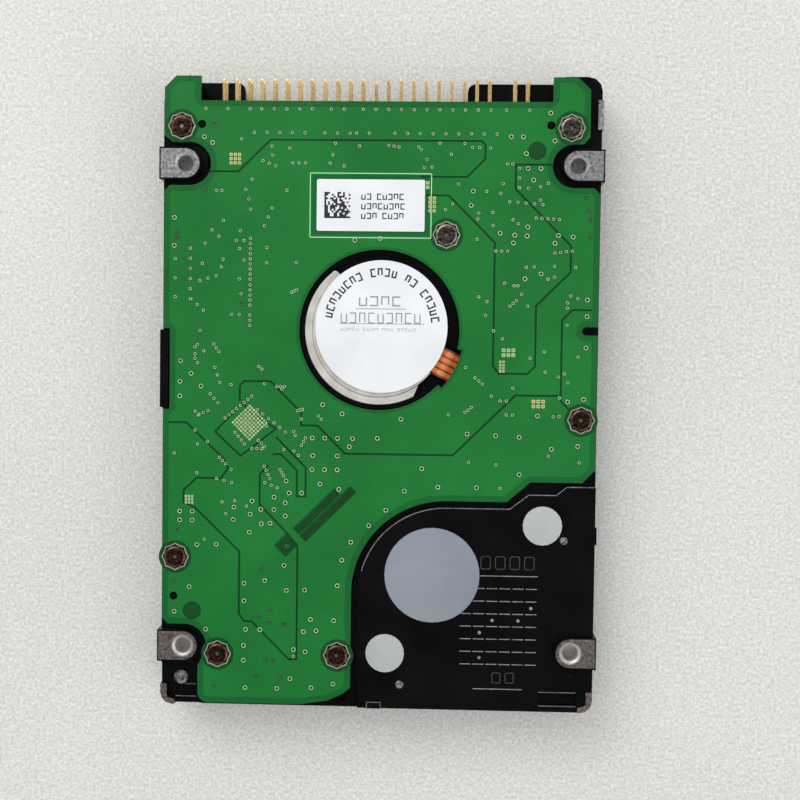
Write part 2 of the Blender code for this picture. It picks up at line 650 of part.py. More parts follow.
def motor_fixed_parts():
    """What stands still: base with its bushing, stator, bearing sleeve, label and flex."""
    base = disc(SPINDLE, MOTOR_DISC_R, 7.25, 8.6, 48, name="motor_base", material="stainless")
    half_ring = sector(SPINDLE, 9.5, MOTOR_RING_R, RING_START_DEG + 1.5, RING_END_DEG - 1.5, 24)
    join(base, prism(half_ring, 7.25, 8.3))
    join(base, lathe([(3.0, 4.6), (3.6, 4.6), (3.6, 5.9), (8.1, 6.4), (8.1, 7.5), (3.0, 7.5)], 28, SPINDLE))
    cut(base, disc(SPINDLE, 2.85, 4.0, 8.1, 24))
    disc(LABEL_CENTRE, LABEL_R, 8.8, 8.88, 48, name="motor_label", material="white_label")
    path = [(8.0, 8.64), (10.7, 8.64), (11.6, 8.3), (12.3, 7.85), (13.2, 7.7), (17.6, 7.7)]
    strip(path, 4.6, 0.12, FLEX_DEG, SPINDLE, "motor_flex", "polyimide")
    sleeve = [(1.55, 2.9), (2.8, 2.9), (2.8, 8.0), (0, 8.0), (0, 7.6), (1.55, 7.6)]
    lathe(sleeve, 24, SPINDLE, name="bearing_sleeve", material="stainless")
    stator()


def stator():
    """Nine laminated teeth on a ring, and the windings on them, joined by their common lead."""
    teeth = 9
    core = disc(SPINDLE, 4.6, 4.55, 5.35, 27, name="stator_core", material="silicon_steel")
    for i in range(teeth):
        stem = turned([(4.0, -0.45), (6.6, -0.45), (6.6, 0.45), (4.0, 0.45)], 360 / teeth * i, SPINDLE)
        shoe = sector(SPINDLE, 6.4, 7.1, 360 / teeth * i - 14, 360 / teeth * i + 14, 3)
        join(core, prism(stem, 4.55, 5.35), prism(shoe, 4.55, 5.35))
    cut(core, disc(SPINDLE, 3.65, 4, 6, 24))
    lead = [(4.75, 5.62), (5.05, 5.62), (5.05, 5.8), (4.75, 5.8)]
    windings = lathe(lead, 27, SPINDLE, name="stator_windings", material="copper")
    for i in range(teeth):
        turn_deg = 360 / teeth * i
        outer = turned([(4.7, -1.0), (6.2, -1.25), (6.2, 1.25), (4.7, 1.0)], turn_deg, SPINDLE)
        bundle = prism(outer, 4.2, 5.7)
        slot = turned([(4.0, -0.5), (7.0, -0.5), (7.0, 0.5), (4.0, 0.5)], turn_deg, SPINDLE)
        cut(bundle, prism(slot, 4.5, 5.4))
        join(windings, bundle)


def spindle_parts():
    """What turns: hub, shaft, ring magnet, disc, clamp and its screw. Drawn about the origin."""
    hub = [(1.55, 1.5), (9.2, 1.5), (9.2, 2.55), (9.95, 2.55), (9.95, PLATTER_TOP + GAP)]
    hub += [(11.5, PLATTER_TOP + GAP), (11.5, 4.9), (9.9, 5.4), (9.9, 6.0)]
    hub += [(8.65, 6.0), (8.65, 2.6), (1.55, 2.6)]
    body = lathe(hub, 28, name="spindle_hub", material="bare_aluminium")
    holes = [disc((0, 0), 0.7, 0, 3, 8) for _ in range(3)]
    for i, hole in enumerate(holes):
        angle = math.radians(120 * i + 30)
        place = Vector((5.6 * math.cos(angle), 5.6 * math.sin(angle), 0)) * MM
        hole.data.transform(Matrix.Translation(place))
    cut(body, several(holes))
    shaft = [(0, 2.0), (1.5, 2.0), (1.5, 7.0), (1.3, 7.2), (0, 7.2)]
    lathe(shaft, 24, name="spindle_shaft", material="stainless")
    magnet = [(7.4, 3.0), (8.6, 3.0), (8.6, 5.9), (7.4, 5.9)]
    lathe(magnet, 28, name="rotor_magnet", material="magnet")
    platter = [(10.0, PLATTER_LOW), (32.5, PLATTER_LOW), (32.5, PLATTER_TOP), (10.0, PLATTER_TOP)]
    lathe(platter, 56, name="platter", material="mirror_disc")
    clamp = [(1.9, 1.0), (6.5, 1.0), (9.6, 1.7), (11.2, 2.5)]
    clamp += [(11.2, PLATTER_LOW - GAP), (10.0, PLATTER_LOW - GAP)]
    clamp += [(10.0, 2.5), (9.25, 2.3), (9.25, 1.45), (1.9, 1.45)]
    lathe(clamp, 28, name="disk_clamp", material="stainless")
    head = [(0, 1.95), (1.2, 1.95), (1.2, 0.98), (3.0, 0.98), (3.0, 0.75), (2.6, 0.62), (0, 0.62)]
    fastener = lathe(head, 18, name="clamp_screw", material="screw_steel")
    cut(fastener, torx_tool((0, 0), 1.0, 0.5, 0.85))


# --- Actuator ---------------------------------------------------------------------------------------


def actuator_parts():
    """The arm, its bearing, coil, suspensions and heads, drawn about the origin with the arm along +X."""
    arm = disc((0, 0), 5.2, 1.6, 5.6, 32, name="actuator_arm", material="bare_aluminium")
    plan = rounded([(2.0, -4.9, 0), (20.5, -2.1, 1.0), (22.0, 0, 0), (20.5, 2.1, 1.0), (2.0, 4.9, 0)])
    hole = rounded([(8.0, -2.2, 0.6), (16.0, -1.0, 0.5), (16.0, 1.0, 0.5), (8.0, 2.2, 0.6)])
    for low, high in (ARM_LOW, ARM_HIGH):
        join(arm, prism(plan, low, high))
        cut(arm, prism(hole, low - 0.3, high + 0.3))
    for side in (-1, 1):
        outer_edge = [(-2.0, side * 4.6), (-6.8, side * 4.6), (-15.8, side * 7.5)]
        inner_edge = [(-15.8, side * 6.5), (-6.2, side * 3.3), (-2.0, side * 2.6)]
        join(arm, prism(outer_edge + inner_edge, 2.9, 4.25))
    cut(arm, disc((0, 0), 4.05, 0, 8, 32))
    coil = prism(rounded(COIL), 2.75, 4.35, name="voice_coil", material="copper")
    cut(coil, prism(rounded(COIL_HOLE), 2, 5))
    bearing = [(2.5, 1.5), (4.0, 1.5), (4.0, 5.8), (2.5, 5.8), (2.5, 5.0), (3.0, 5.0), (3.0, 2.4), (2.5, 2.4)]
    lathe(bearing, 24, name="pivot_bearing", material="stainless")
    low_beam, high_beam = ARM_LOW[1] + 0.02, ARM_HIGH[0] - 0.12
    suspension("suspension_cover_side", low_beam)
    suspension("suspension_base_side", high_beam)
    slider("slider_cover_side", low_beam + 0.12)
    slider("slider_base_side", high_beam - 0.37)


def suspension(name, low):
    """A stainless load beam with its lift tab at the tip."""
    plan = [(16.8, -2.0), (21.5, -2.0), (30.6, -0.75), (32.9, -0.6), (33.2, -0.3), (TAB_X, -0.3)]
    plan += [(x, -y) for x, y in plan[::-1]]
    beam = prism(plan, low, low + BEAM, name=name, material="stainless")
    hole = [(23.0, -0.8, 0.2), (26.5, -0.4, 0.2), (26.5, 0.4, 0.2), (23.0, 0.8, 0.2)]
    cut(beam, prism(rounded(hole), low - 1, low + 1))


def slider(name, low):
    box((HEAD_X - 0.6, -0.4, low), (HEAD_X + 0.6, 0.4, low + 0.35), name=name, material="chip_epoxy")


def pivot_shaft():
    profile = [(0, 0.85), (3.2, 0.85), (3.2, 1.35), (2.4, 1.35)]
    profile += [(2.4, 6.15), (1.95, 6.15), (1.95, 7.9), (0, 7.9)]
    body = lathe(profile, 24, PIVOT, name="pivot_shaft", material="stainless")
    cut(body, torx_tool(PIVOT, 1.2, 0.0, 1.15))


def around_pivot(angle_deg, reach):
    angle = math.radians(angle_deg)
    return (PIVOT[0] + reach * math.cos(angle), PIVOT[1] + reach * math.sin(angle))


def voice_coil_motor():
    """Two steel plates that carry a magnet each, held apart by posts with rubber crash stops."""
    plate = sector(PIVOT, 6.9, 16.9, YOKE_START, YOKE_END, 18)
    magnet = sector(PIVOT, 7.3, 15.6, -78.0, 4.0, 14)
    lower = prism(plate, 0.7, 1.5, name="vcm_yoke_cover_side", material="magnet")
    for angle in POST_ANGLES:
        join(lower, disc(around_pivot(angle, POST_REACH), 1.1, 1.3, 5.55, 16))
    prism(plate, 5.6, 6.5, name="vcm_yoke_base_side", material="magnet")
    prism(magnet, 1.55, 2.45, name="vcm_magnet_cover_side", material="magnet")
    prism(magnet, 4.65, 5.55, name="vcm_magnet_base_side", material="magnet")
    for name, angle in zip(("crash_stop_inner", "crash_stop_outer"), POST_ANGLES):
        ring = [(1.16, 2.6), (1.65, 2.6), (1.65, 4.5), (1.16, 4.5)]
        lathe(ring, 14, around_pivot(angle, POST_REACH), name=name, material="rubber")


def parking_ramp():
    """A plastic ramp at the disc's edge, with two fins for the lift tabs and a slot for the disc."""
    block = sector(PIVOT, 35.4, 37.6, 151.0, 169.0, 8)
    body = prism(block, 2.2, CAVITY_TOP - 0.1, name="parking_ramp", material="ivory_plastic")
    fins = sector(PIVOT, 33.7, 35.6, 152.5, 168.0, 8)
    join(body, prism(fins, 2.9, 4.25))
    cut(body, disc(SPINDLE, 33.0, PLATTER_LOW - 0.15, PLATTER_TOP + 0.15, 72))
    cut(body, disc(SPINDLE, 33.0, CAVITY_TOP - 0.8, 9, 72))


def flex_parts():
    """The bracket that carries the head signals through the floor, and the loop from it to the arm."""
    high = (-10.0, -37.4, CAVITY_TOP - GAP)
    bracket = box((-20.0, -42.6, 2.2), high, name="flex_bracket", material="ivory_plastic")
    plug = rounded([(-18.4, -41.2, 0.7), (-11.6, -41.2, 0.7), (-11.6, -38.8, 0.7), (-18.4, -38.8, 0.7)])
    join(bracket, prism(plug, 5.5, BOARD_LOW - GAP))
    start = Vector((-9.9, -39.5))
    end = Vector(around_pivot(FLEX_END_DEG, 5.5))
    reach_start, reach_end = Vector((7.5, -0.5)), Vector(around_pivot(FLEX_END_DEG - 12, 10.5))
    controls = [start, start + reach_start, reach_end, end]
    path = []
    for i in range(15):
        t = i / 14
        weights = [(1 - t) ** 3, 3 * t * (1 - t) ** 2, 3 * t * t * (1 - t), t**3]
        path.append(tuple(sum((w * c for w, c in zip(weights, controls)), Vector((0, 0)))))
    ribbon(path, 0.12, 2.3, 5.2, "flex_loop", "polyimide")


def latch():
    """A small lever on a pin that catches the coil's fork if the drive is knocked. Drawn about the origin."""
    weight = [(1.6, -1.7, 0.5), (2.3, 0.6, 0.5), (0.4, 1.6, 0.5)]
    hook = [(-4.9, -0.9, 0.2), (-5.35, -0.1, 0.1), (-5.95, -0.1, 0.1), (-6.1, -1.2, 0.3), (-5.2, -1.7, 0.3)]
    plan = rounded(weight + hook)
    lever = prism(plan, 2.6, 4.4, name="inertia_latch", material="ivory_plastic")
    cut(lever, disc((0, 0), 0.75, 0, 8, 16))


def chamber_parts():
    """The fixed pieces that stand in the casting around the disc and the actuator."""
    parking_ramp()
    flex_parts()
    angle = -40.0
    filter_box = turned([(-3.6, -0.8), (3.6, -0.8), (3.6, 0.8), (-3.6, 0.8)], angle + 90, (25.2, -12.6))
    prism(filter_box, 1.7, CAVITY_TOP - GAP, name="recirculation_filter", material="filter_cloth")
    breather = rounded([(-27.0, -37.0, 1.0), (-22.0, -37.0, 1.0), (-22.0, -28.0, 1.0), (-27.0, -28.0, 1.0)])
    prism(breather, 2.4, CAVITY_TOP - GAP, name="breather_filter", material="filter_cloth")


def seals():
    """Foil discs stuck over the holes in the actuator bay's outer face."""
    for name, at, radius, steps in SEALS:
        disc(at, radius, PLATEAU + 0.02, PLATEAU + 0.12, steps, name=name, material="foil")


# --- Assembly ---------------------------------------------------------------------------------------


def clear_scene():
    for thing in list(bpy.data.objects):
        bpy.data.objects.remove(thing)


def make_materials():
    for name, (colour, roughness, metallic) in MATERIALS.items():
        made = bpy.data.materials.new(name)
        made.use_nodes = True
        shader = made.node_tree.nodes["Principled BSDF"]
        shader.inputs["Base Color"].default_value = (*colour, 1.0)
        shader.inputs["Roughness"].default_value = roughness
        shader.inputs["Metallic"].default_value = metallic


def axis_empty(name, at, turn_deg=0.0):
    """An empty on a joint's axis, which the pieces that turn about it are parented to."""
    made = bpy.data.objects.new(name, None)
    made.location = (at[0] * MM, at[1] * MM, 0.0)
    made.rotation_euler.z = math.radians(turn_deg)
    bpy.context.scene.collection.objects.link(made)
    return made


def carry(build, owner):
    """Builds pieces about the origin, then gives them to the empty on the axis they turn about."""
    before = set(bpy.data.objects)
    build()
    for made in set(bpy.data.objects) - before:
        made.parent = owner


def shade():
    """Round faces look round, and edges sharper than this stay sharp."""
    for mesh in bpy.data.meshes:
        mesh.shade_smooth()
        mesh.set_sharp_from_angle(angle=math.radians(35))


def main():
    clear_scene()
    make_materials()
    base_casting()
    cover_parts()
    board_parts()
    connector()
    motor_fixed_parts()
    pivot_shaft()
    voice_coil_motor()
    chamber_parts()
    seals()
    carry(spindle_parts, axis_empty("spindle_axis", SPINDLE))
    carry(actuator_parts, axis_empty("actuator_axis", PIVOT, PARKED_DEG))
    carry(latch, axis_empty("latch_axis", LATCH_PIN))
    shade()


main()
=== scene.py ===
"""A 2.5-inch parallel-ATA hard disk drive lying on its cover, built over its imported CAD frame.

+X is the drive's right side seen from the circuit board, +Y points to the pin connector, +Z is up.
Plan sizes below are in millimetres and become metres where a mesh is made.
"""

import math
import random

import bmesh
import bpy
from mathutils import Matrix, Vector


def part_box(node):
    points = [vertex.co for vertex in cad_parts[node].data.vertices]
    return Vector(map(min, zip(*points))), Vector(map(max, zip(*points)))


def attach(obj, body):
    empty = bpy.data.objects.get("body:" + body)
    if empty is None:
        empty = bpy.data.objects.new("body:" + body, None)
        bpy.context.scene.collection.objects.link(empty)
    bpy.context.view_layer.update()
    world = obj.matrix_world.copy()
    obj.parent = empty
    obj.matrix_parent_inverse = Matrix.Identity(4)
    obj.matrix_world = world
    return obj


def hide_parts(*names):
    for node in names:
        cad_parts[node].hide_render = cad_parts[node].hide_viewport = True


MM = 0.001

# Places in the plan, the same as in the CAD part.
LENGTH = 100.2
HOLE_X = 61.72 / 2
HOLE_NEAR_Y = LENGTH / 2 - 14.0
HOLE_FAR_Y = HOLE_NEAR_Y - 76.6
SPINDLE = (0.0, 10.2)
PIVOT = (8.85, -28.55)
BAY_CENTRE = (11.0, -31.7)
BAY_R = 15.0
MOTOR_HOLE_R = 12.65
BOARD_CUT_R = 3.4
BOARD_SCREWS = [(-31.5, 42.0), (29.7, 42.0), (10.4, 25.25), (31.95, -3.6)]
BOARD_SCREWS += [(-32.2, -26.3), (-25.3, -41.8), (-6.15, -41.7)]
LIGHT_SCREWS = (1, 2)  # these two heads are greyer than the others
LOCATING_PINS = [(-28.3, 42.3), (26.5, 42.4), (-32.45, -32.6)]
# Grey painted on the black coat, partly rubbed-off coat and partly painted highlight: two small posts on the
# bay, and the dimple in the lower left corner.
POSTS = [((29.6, -22.7), 0.6), ((3.9, -46.2), 0.62), ((-31.4, -46.0), 1.1)]
COVER_SCREWS = [(-31.0, 46.3), (31.0, 46.3), (-31.6, -16.0), (31.9, -16.0), (-31.2, -46.6), (31.2, -46.6)]
PITCH = 2.0
PLACES = 25
EMPTY_PLACE = 22
KEY_PLACE = 12
CONNECTOR_X = -1.07
PIN = 0.5
LABEL_CENTRE = (0.33, 10.75)
LABEL_R = 10.45
FLEX_DEG = -26.5
RING_START_DEG = 124.0
RING_END_DEG = 307.0
SILK_FRAME = ((-11.1, 24.7), (7.95, 34.75))

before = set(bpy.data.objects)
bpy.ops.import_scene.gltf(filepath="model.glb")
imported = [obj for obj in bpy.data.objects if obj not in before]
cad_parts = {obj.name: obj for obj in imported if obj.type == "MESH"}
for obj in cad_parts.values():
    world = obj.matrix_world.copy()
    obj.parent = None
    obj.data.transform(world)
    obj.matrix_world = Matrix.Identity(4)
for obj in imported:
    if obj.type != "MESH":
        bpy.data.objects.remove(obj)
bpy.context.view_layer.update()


def top_of(node):
    """A CAD node's highest point, in millimetres."""
    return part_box(node)[1].z / MM


def foot_of(node):
    """A CAD node's lowest point, in millimetres."""
    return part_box(node)[0].z / MM


BOARD_LOW, BOARD_TOP = foot_of("circuit_board"), top_of("circuit_board")
PLATEAU = foot_of("pivot_seal") - 0.02


# --- Outlines ---------------------------------------------------------------------------------------


def arc(centre, radius, start, end, steps):
    """Points along an arc, both ends included, angles in degrees."""
    angles = [math.radians(start + (end - start) * i / steps) for i in range(steps + 1)]
    return [(centre[0] + radius * math.cos(a), centre[1] + radius * math.sin(a)) for a in angles]


def circle(centre, radius, steps):
    """Points round a full circle, the first one not repeated."""
    return arc(centre, radius, 0, 360, steps)[:-1]


def rounded(corners, step_deg=10):
    """A closed outline through (x, y, radius) corners, each rounded with an arc of its radius."""
    points = []
    for i, (x, y, radius) in enumerate(corners):
        here = Vector((x, y))
        back = Vector(corners[i - 1][:2]) - here
        ahead = Vector(corners[(i + 1) % len(corners)][:2]) - here
        if radius == 0:
            points.append((x, y))
            continue
        half = back.angle(ahead) / 2
        centre = here + (back.normalized() + ahead.normalized()).normalized() * (radius / math.sin(half))
        first = here + back.normalized() * (radius / math.tan(half)) - centre
        last = here + ahead.normalized() * (radius / math.tan(half)) - centre
        turn = first.angle_signed(last)
        steps = max(2, round(abs(math.degrees(turn)) / step_deg))
        for k in range(steps + 1):
            points.append(tuple(centre + Matrix.Rotation(-turn * k / steps, 2) @ first))
    return points


def rectangle(low, high, radius=0.0):
    """A rectangle between two corners, with its own corners rounded."""
    corners = [(low[0], low[1]), (high[0], low[1]), (high[0], high[1]), (low[0], high[1])]
    return rounded([(x, y, radius) for x, y in corners])


def turned(points, angle_deg, centre):
    """Points given in a frame along +X, turned and moved to a centre."""
    matrix = Matrix.Rotation(math.radians(angle_deg), 2)
    return [tuple(matrix @ Vector(p) + Vector(centre)) for p in points]


def board_outline():
    """The circuit board's edge, anticlockwise from its lower left corner."""
    near_cut, far_cut = 30.25, 30.6
    bay_left_x = BAY_CENTRE[0] - BAY_R
    bay_top_y = BAY_CENTRE[1] + BAY_R
    lower_left = arc((-26.8, -48.0), 1.7, 180, 270, 9) + [(-12.0, -49.7), (-7.6, -49.0), (-5.4, -48.0)]
    bay = [(bay_left_x, -46.9)] + arc(BAY_CENTRE, BAY_R, 180, 90, 40)
    right_side = [(20.5, bay_top_y), (24.2, -13.5), (32.3, -13.5), (34.35, -11.4)]
    slot = [(34.35, 9.75)] + arc((32.5, 10.4), 0.65, -90, -270, 12) + [(34.35, 11.05)]
    right_cut = [(34.35, 31.7), (33.4, HOLE_NEAR_Y - BOARD_CUT_R)]
    right_cut += arc((near_cut, HOLE_NEAR_Y), BOARD_CUT_R, -90, -270, 24)
    right_cut += [(31.6, HOLE_NEAR_Y + BOARD_CUT_R)]
    right_tab = [(32.6, 40.6), (32.6, 47.9), (30.6, 49.85), (26.8, 49.85), (26.8, 46.0)]
    left_tab = [(-28.5, 46.0), (-28.5, 49.85), (-32.4, 49.85), (-34.25, 48.0), (-34.25, 40.6)]
    left_cut = [(-33.0, HOLE_NEAR_Y + BOARD_CUT_R)]
    left_cut += arc((-near_cut, HOLE_NEAR_Y), BOARD_CUT_R, 90, -90, 24)
    left_cut += [(-33.4, HOLE_NEAR_Y - BOARD_CUT_R)]
    rib_notch = [(-34.3, 31.7), (-34.3, 10.1), (-33.25, 10.1), (-33.25, -2.7), (-34.3, -2.7), (-34.3, -36.1)]
    far_left = [(-33.4, HOLE_FAR_Y + BOARD_CUT_R)]
    far_left += arc((-far_cut, HOLE_FAR_Y), BOARD_CUT_R, 90, 0, 12) + [(-27.4, -41.6), (-28.5, -43.8)]
    right = right_side + slot + right_cut + right_tab
    left = left_tab + left_cut + rib_notch + far_left
    return lower_left + bay + right + left


def motor_hole(grow=0.0):
    """The board's round hole, with the bay for the flex in its lower right."""
    bay_r = 13.4
    shift = math.degrees(grow / bay_r)
    round_part = arc(SPINDLE, MOTOR_HOLE_R + grow, -13 + shift, 318 - shift, 96)
    return round_part + arc(SPINDLE, bay_r + grow, -42 - shift, -13 + shift, 12)


def gap_to(point, start, end):
    """A point's distance from a straight edge."""
    edge = end - start
    share = (point - start).dot(edge) / edge.length_squared
    return (point - start - edge * min(1.0, max(0.0, share))).length


def drawn_in(outline, distance):
    """An anticlockwise outline moved inwards. Points that a neighbouring edge would swallow are left out."""
    edges = [(Vector(a), Vector(b)) for a, b in zip(outline, outline[1:] + outline[:1])]
    edges = [(a, b) for a, b in edges if (b - a).length > 0.001]
    points = []
    for a, b in edges:
        along = (b - a).normalized()
        inward = Vector((-along.y, along.x)) * distance
        count = max(1, round((b - a).length / 0.3))
        points += [a.lerp(b, (k + 0.5) / count) + inward for k in range(count)]
    return [tuple(point) for point in points if min(gap_to(point, a, b) for a, b in edges) > distance - 0.004]


# --- Meshes -----------------------------------------------------------------------------------------


def piece(name, mesh, materials, replaces=(), sharp_deg=35, place=(0.0, 0.0, 0.0)):
    """An object from a bmesh or a mesh, smooth up to an angle, riding on the drive's fixed body."""
    if isinstance(mesh, bmesh.types.BMesh):
        data = bpy.data.meshes.new(name)
        mesh.to_mesh(data)
        mesh.free()
    else:
        data = mesh
        data.name = name
    for made in materials:
        data.materials.append(made)
    data.shade_smooth()
    data.set_sharp_from_angle(angle=math.radians(sharp_deg))
    thing = bpy.data.objects.new(name, data)
    thing.location = place
    bpy.context.scene.collection.objects.link(thing)
    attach(thing, "root")
    if replaces:
        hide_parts(*replaces)


def plate(outlines, low, high, edge=0.0):
    """A flat plate with holes. The first outline is its edge."""
    curve = bpy.data.curves.new("plate", "CURVE")
    curve.dimensions = "2D"
    curve.fill_mode = "BOTH"
    curve.extrude = ((high - low) / 2 - edge) * MM
    curve.bevel_depth = edge * MM
    curve.bevel_resolution = 1
    curve.offset = -edge * MM
    for outline in outlines:
        spline = curve.splines.new("POLY")
        spline.points.add(len(outline) - 1)
        for point, (x, y) in zip(spline.points, outline):
            point.co = (x * MM, y * MM, 0.0, 1.0)
        spline.use_cyclic_u = True
    holder = bpy.data.objects.new("plate", curve)
    bpy.context.scene.collection.objects.link(holder)
    graph = bpy.context.evaluated_depsgraph_get()
    mesh = bpy.data.meshes.new_from_object(holder.evaluated_get(graph))
    mesh.transform(Matrix.Translation((0.0, 0.0, (low + high) / 2 * MM)))
    bpy.data.objects.remove(holder)
    bpy.data.curves.remove(curve)
    return mesh


def add_loops(mesh, loops, closed_ends=True, index=0):
    """Faces between successive loops of points, and over the first and last."""
    rings = [[mesh.verts.new([c * MM for c in p]) for p in loop] for loop in loops]
    faces = []
    for low, high in zip(rings, rings[1:]):
        count = len(low)
        for k in range(count):
            faces.append(mesh.faces.new([low[k], low[(k + 1) % count], high[(k + 1) % count], high[k]]))
    if closed_ends:
        faces.append(mesh.faces.new(rings[0][::-1]))
        faces.append(mesh.faces.new(rings[-1]))
    for face in faces:
        face.material_index = index
    return faces


def add_prism(mesh, outline, low, high, index=0, edge=0.0):
    """An outline between two heights, with its top drawn in by edge towards its middle."""
    centre = Vector((sum(x for x, _ in outline), sum(y for _, y in outline))) / len(outline)
    loops = [[(x, y, low) for x, y in outline], [(x, y, high - edge) for x, y in outline]]
    if edge:
        drawn = []
        for x, y in outline:
            inward = (centre - Vector((x, y))).normalized() * edge
            drawn.append((x + inward.x, y + inward.y, high))
        loops.append(drawn)
    return add_loops(mesh, loops, index=index)


def add_lathe(mesh, profile, steps, centre=(0.0, 0.0), index=0, closed=True):
    """(radius, height) points turned about a vertical axis. A radius may be a function of the angle."""
    loops = []
    for radius, height in profile:
        loop = []
        for k in range(steps):
            angle = math.tau * k / steps
            reach = radius(angle) if callable(radius) else radius
            loop.append((centre[0] + reach * math.cos(angle), centre[1] + reach * math.sin(angle), height))
        loops.append(loop)
    return add_loops(mesh, loops, closed, index)


def add_band(mesh, path, width, low, high, index=0):
    """A flat strip of one width along plan points, with mitred corners."""
    sides = ([], [])
    for i, point in enumerate(path):
        here = Vector(point)
        back = (here - Vector(path[i - 1])).normalized() if i else None
        ahead = (Vector(path[i + 1]) - here).normalized() if i + 1 < len(path) else None
        along = ((back or ahead) + (ahead or back)).normalized()
        normal = Vector((-along.y, along.x))
        straight = ahead or back
        stretch = 1.0 / max(0.5, abs(normal.dot(Vector((-straight.y, straight.x)))))
        sides[0].append(here + normal * width / 2 * stretch)
        sides[1].append(here - normal * width / 2 * stretch)
    for a, b, c, d in zip(sides[0], sides[0][1:], sides[1][1:], sides[1]):
        corners = [tuple(d), tuple(c), tuple(b), tuple(a)]
        add_loops(mesh, [[(x, y, low) for x, y in corners], [(x, y, high) for x, y in corners]], index=index)


# --- Material nodes ---------------------------------------------------------------------------------


def srgb(red, green, blue):
    """A screen colour, 0 to 255, as the linear colour a shader takes."""
    linear = [c / 255 / 12.92 if c <= 10 else ((c / 255 + 0.055) / 1.055) ** 2.4 for c in (red, green, blue)]
    return (*linear, 1.0)


class Look:
    """A material being built. Its coordinates are millimetres in the piece's own space."""

    def __init__(self, name, metallic=0.0, **constants):
        self.material = bpy.data.materials.new(name)
        self.material.use_nodes = True
        self.tree = self.material.node_tree
        self.shader = self.tree.nodes["Principled BSDF"]
        self.shader.inputs["Metallic"].default_value = metallic
        for socket, value in constants.items():
            self.shader.inputs[socket.replace("_", " ")].default_value = value
        place = self.tree.nodes.new("ShaderNodeTexCoord").outputs["Object"]
        self.place = self.vector("SCALE", place, scale=1 / MM)

    def vector(self, operation, first, second=None, scale=None):
        """A vector math node."""
        made = self.tree.nodes.new("ShaderNodeVectorMath")
        made.operation = operation
        self.feed(made.inputs[0], first)
        if second is not None:
            self.feed(made.inputs[1], second)
        if scale is not None:
            made.inputs["Scale"].default_value = scale
        return made.outputs["Value" if operation in ("LENGTH", "DISTANCE") else "Vector"]

    def feed(self, socket, value):
        """Links a socket to another node, or sets its value."""
        if isinstance(value, bpy.types.NodeSocket):
            self.tree.links.new(value, socket)
        else:
            socket.default_value = value

    def math(self, operation, *values):
        """A math node."""
        made = self.tree.nodes.new("ShaderNodeMath")
        made.operation = operation
        for socket, value in zip(made.inputs, values):
            self.feed(socket, value)
        return made.outputs[0]

    def axes(self, place=None):
        """The x, y and z of a place, in millimetres."""
        made = self.tree.nodes.new("ShaderNodeSeparateXYZ")
        self.feed(made.inputs[0], place or self.place)
        return made.outputs

    def point(self, x, y, z):
        """A place made from x, y and z."""
        made = self.tree.nodes.new("ShaderNodeCombineXYZ")
        for socket, value in zip(made.inputs, (x, y, z)):
            self.feed(socket, value)
        return made.outputs[0]

    def noise(self, scale, detail=3.0, stretch=(1.0, 1.0, 1.0), place=None, rough=0.5):
        """Noise with this many features per millimetre."""
        made = self.tree.nodes.new("ShaderNodeTexNoise")
        made.inputs["Scale"].default_value = scale
        made.inputs["Detail"].default_value = detail
        made.inputs["Roughness"].default_value = rough
        self.feed(made.inputs["Vector"], self.vector("MULTIPLY", place or self.place, stretch))
        return made.outputs["Fac"]

    def cells(self, scale, output="Distance", feature="F1"):
        """Voronoi cells with this many per millimetre."""
        made = self.tree.nodes.new("ShaderNodeTexVoronoi")
        made.feature = feature
        made.inputs["Scale"].default_value = scale
        self.feed(made.inputs["Vector"], self.place)
        return made.outputs[output]

    def waves(self, scale, axis, distortion=0.0):
        """Even bands across an axis."""
        made = self.tree.nodes.new("ShaderNodeTexWave")
        made.bands_direction = axis
        made.inputs["Scale"].default_value = scale
        made.inputs["Distortion"].default_value = distortion
        self.feed(made.inputs["Vector"], self.place)
        return made.outputs["Fac"]

    def remap(self, value, low, high, to_low=0.0, to_high=1.0):
        """A value moved from one range to another."""
        made = self.tree.nodes.new("ShaderNodeMapRange")
        for name, number in (("From Min", low), ("From Max", high), ("To Min", to_low), ("To Max", to_high)):
            made.inputs[name].default_value = number
        self.feed(made.inputs["Value"], value)
        return made.outputs["Result"]

    def blend(self, share, first, second):
        """A colour between two, or with numbers a number between two."""
        made = self.tree.nodes.new("ShaderNodeMix")
        numbers = all(isinstance(v, float) or getattr(v, "type", "") == "VALUE" for v in (first, second))
        made.data_type = "FLOAT" if numbers else "RGBA"
        kind = "Float" if numbers else "Color"
        sockets = {s.identifier: s for s in made.inputs}
        self.feed(sockets["Factor_Float"], share)
        self.feed(sockets["A_" + kind], first)
        self.feed(sockets["B_" + kind], second)
        return next(s for s in made.outputs if s.identifier == "Result_" + kind)

    def colour(self, value):
        self.feed(self.shader.inputs["Base Color"], value)

    def roughness(self, value):
        self.feed(self.shader.inputs["Roughness"], value)

    def bump(self, height, depth_mm, strength=1.0):
        """Relief of a depth in millimetres."""
        made = self.tree.nodes.new("ShaderNodeBump")
        made.inputs["Strength"].default_value = strength
        made.inputs["Distance"].default_value = depth_mm * MM
        self.feed(made.inputs["Height"], height)
        self.tree.links.new(made.outputs[0], self.shader.inputs["Normal"])


def mottled(name, dark, light, metallic, rough, patch, grain, depth_mm, stretch=(1, 1, 1)):
    """The common finish: colour that wanders in patches, fine grain in colour and gloss, a slight bump."""
    look = Look(name, metallic)
    patches = look.noise(patch, 3.0, stretch)
    fine = look.noise(grain, 4.0, stretch, rough=0.65)
    share = look.blend(0.45, patches, fine)
    look.colour(look.blend(look.remap(share, 0.3, 0.7), dark, light))
    look.roughness(look.remap(fine, 0.3, 0.7, rough[0], rough[1]))
    look.bump(fine, depth_mm)
    return look.material


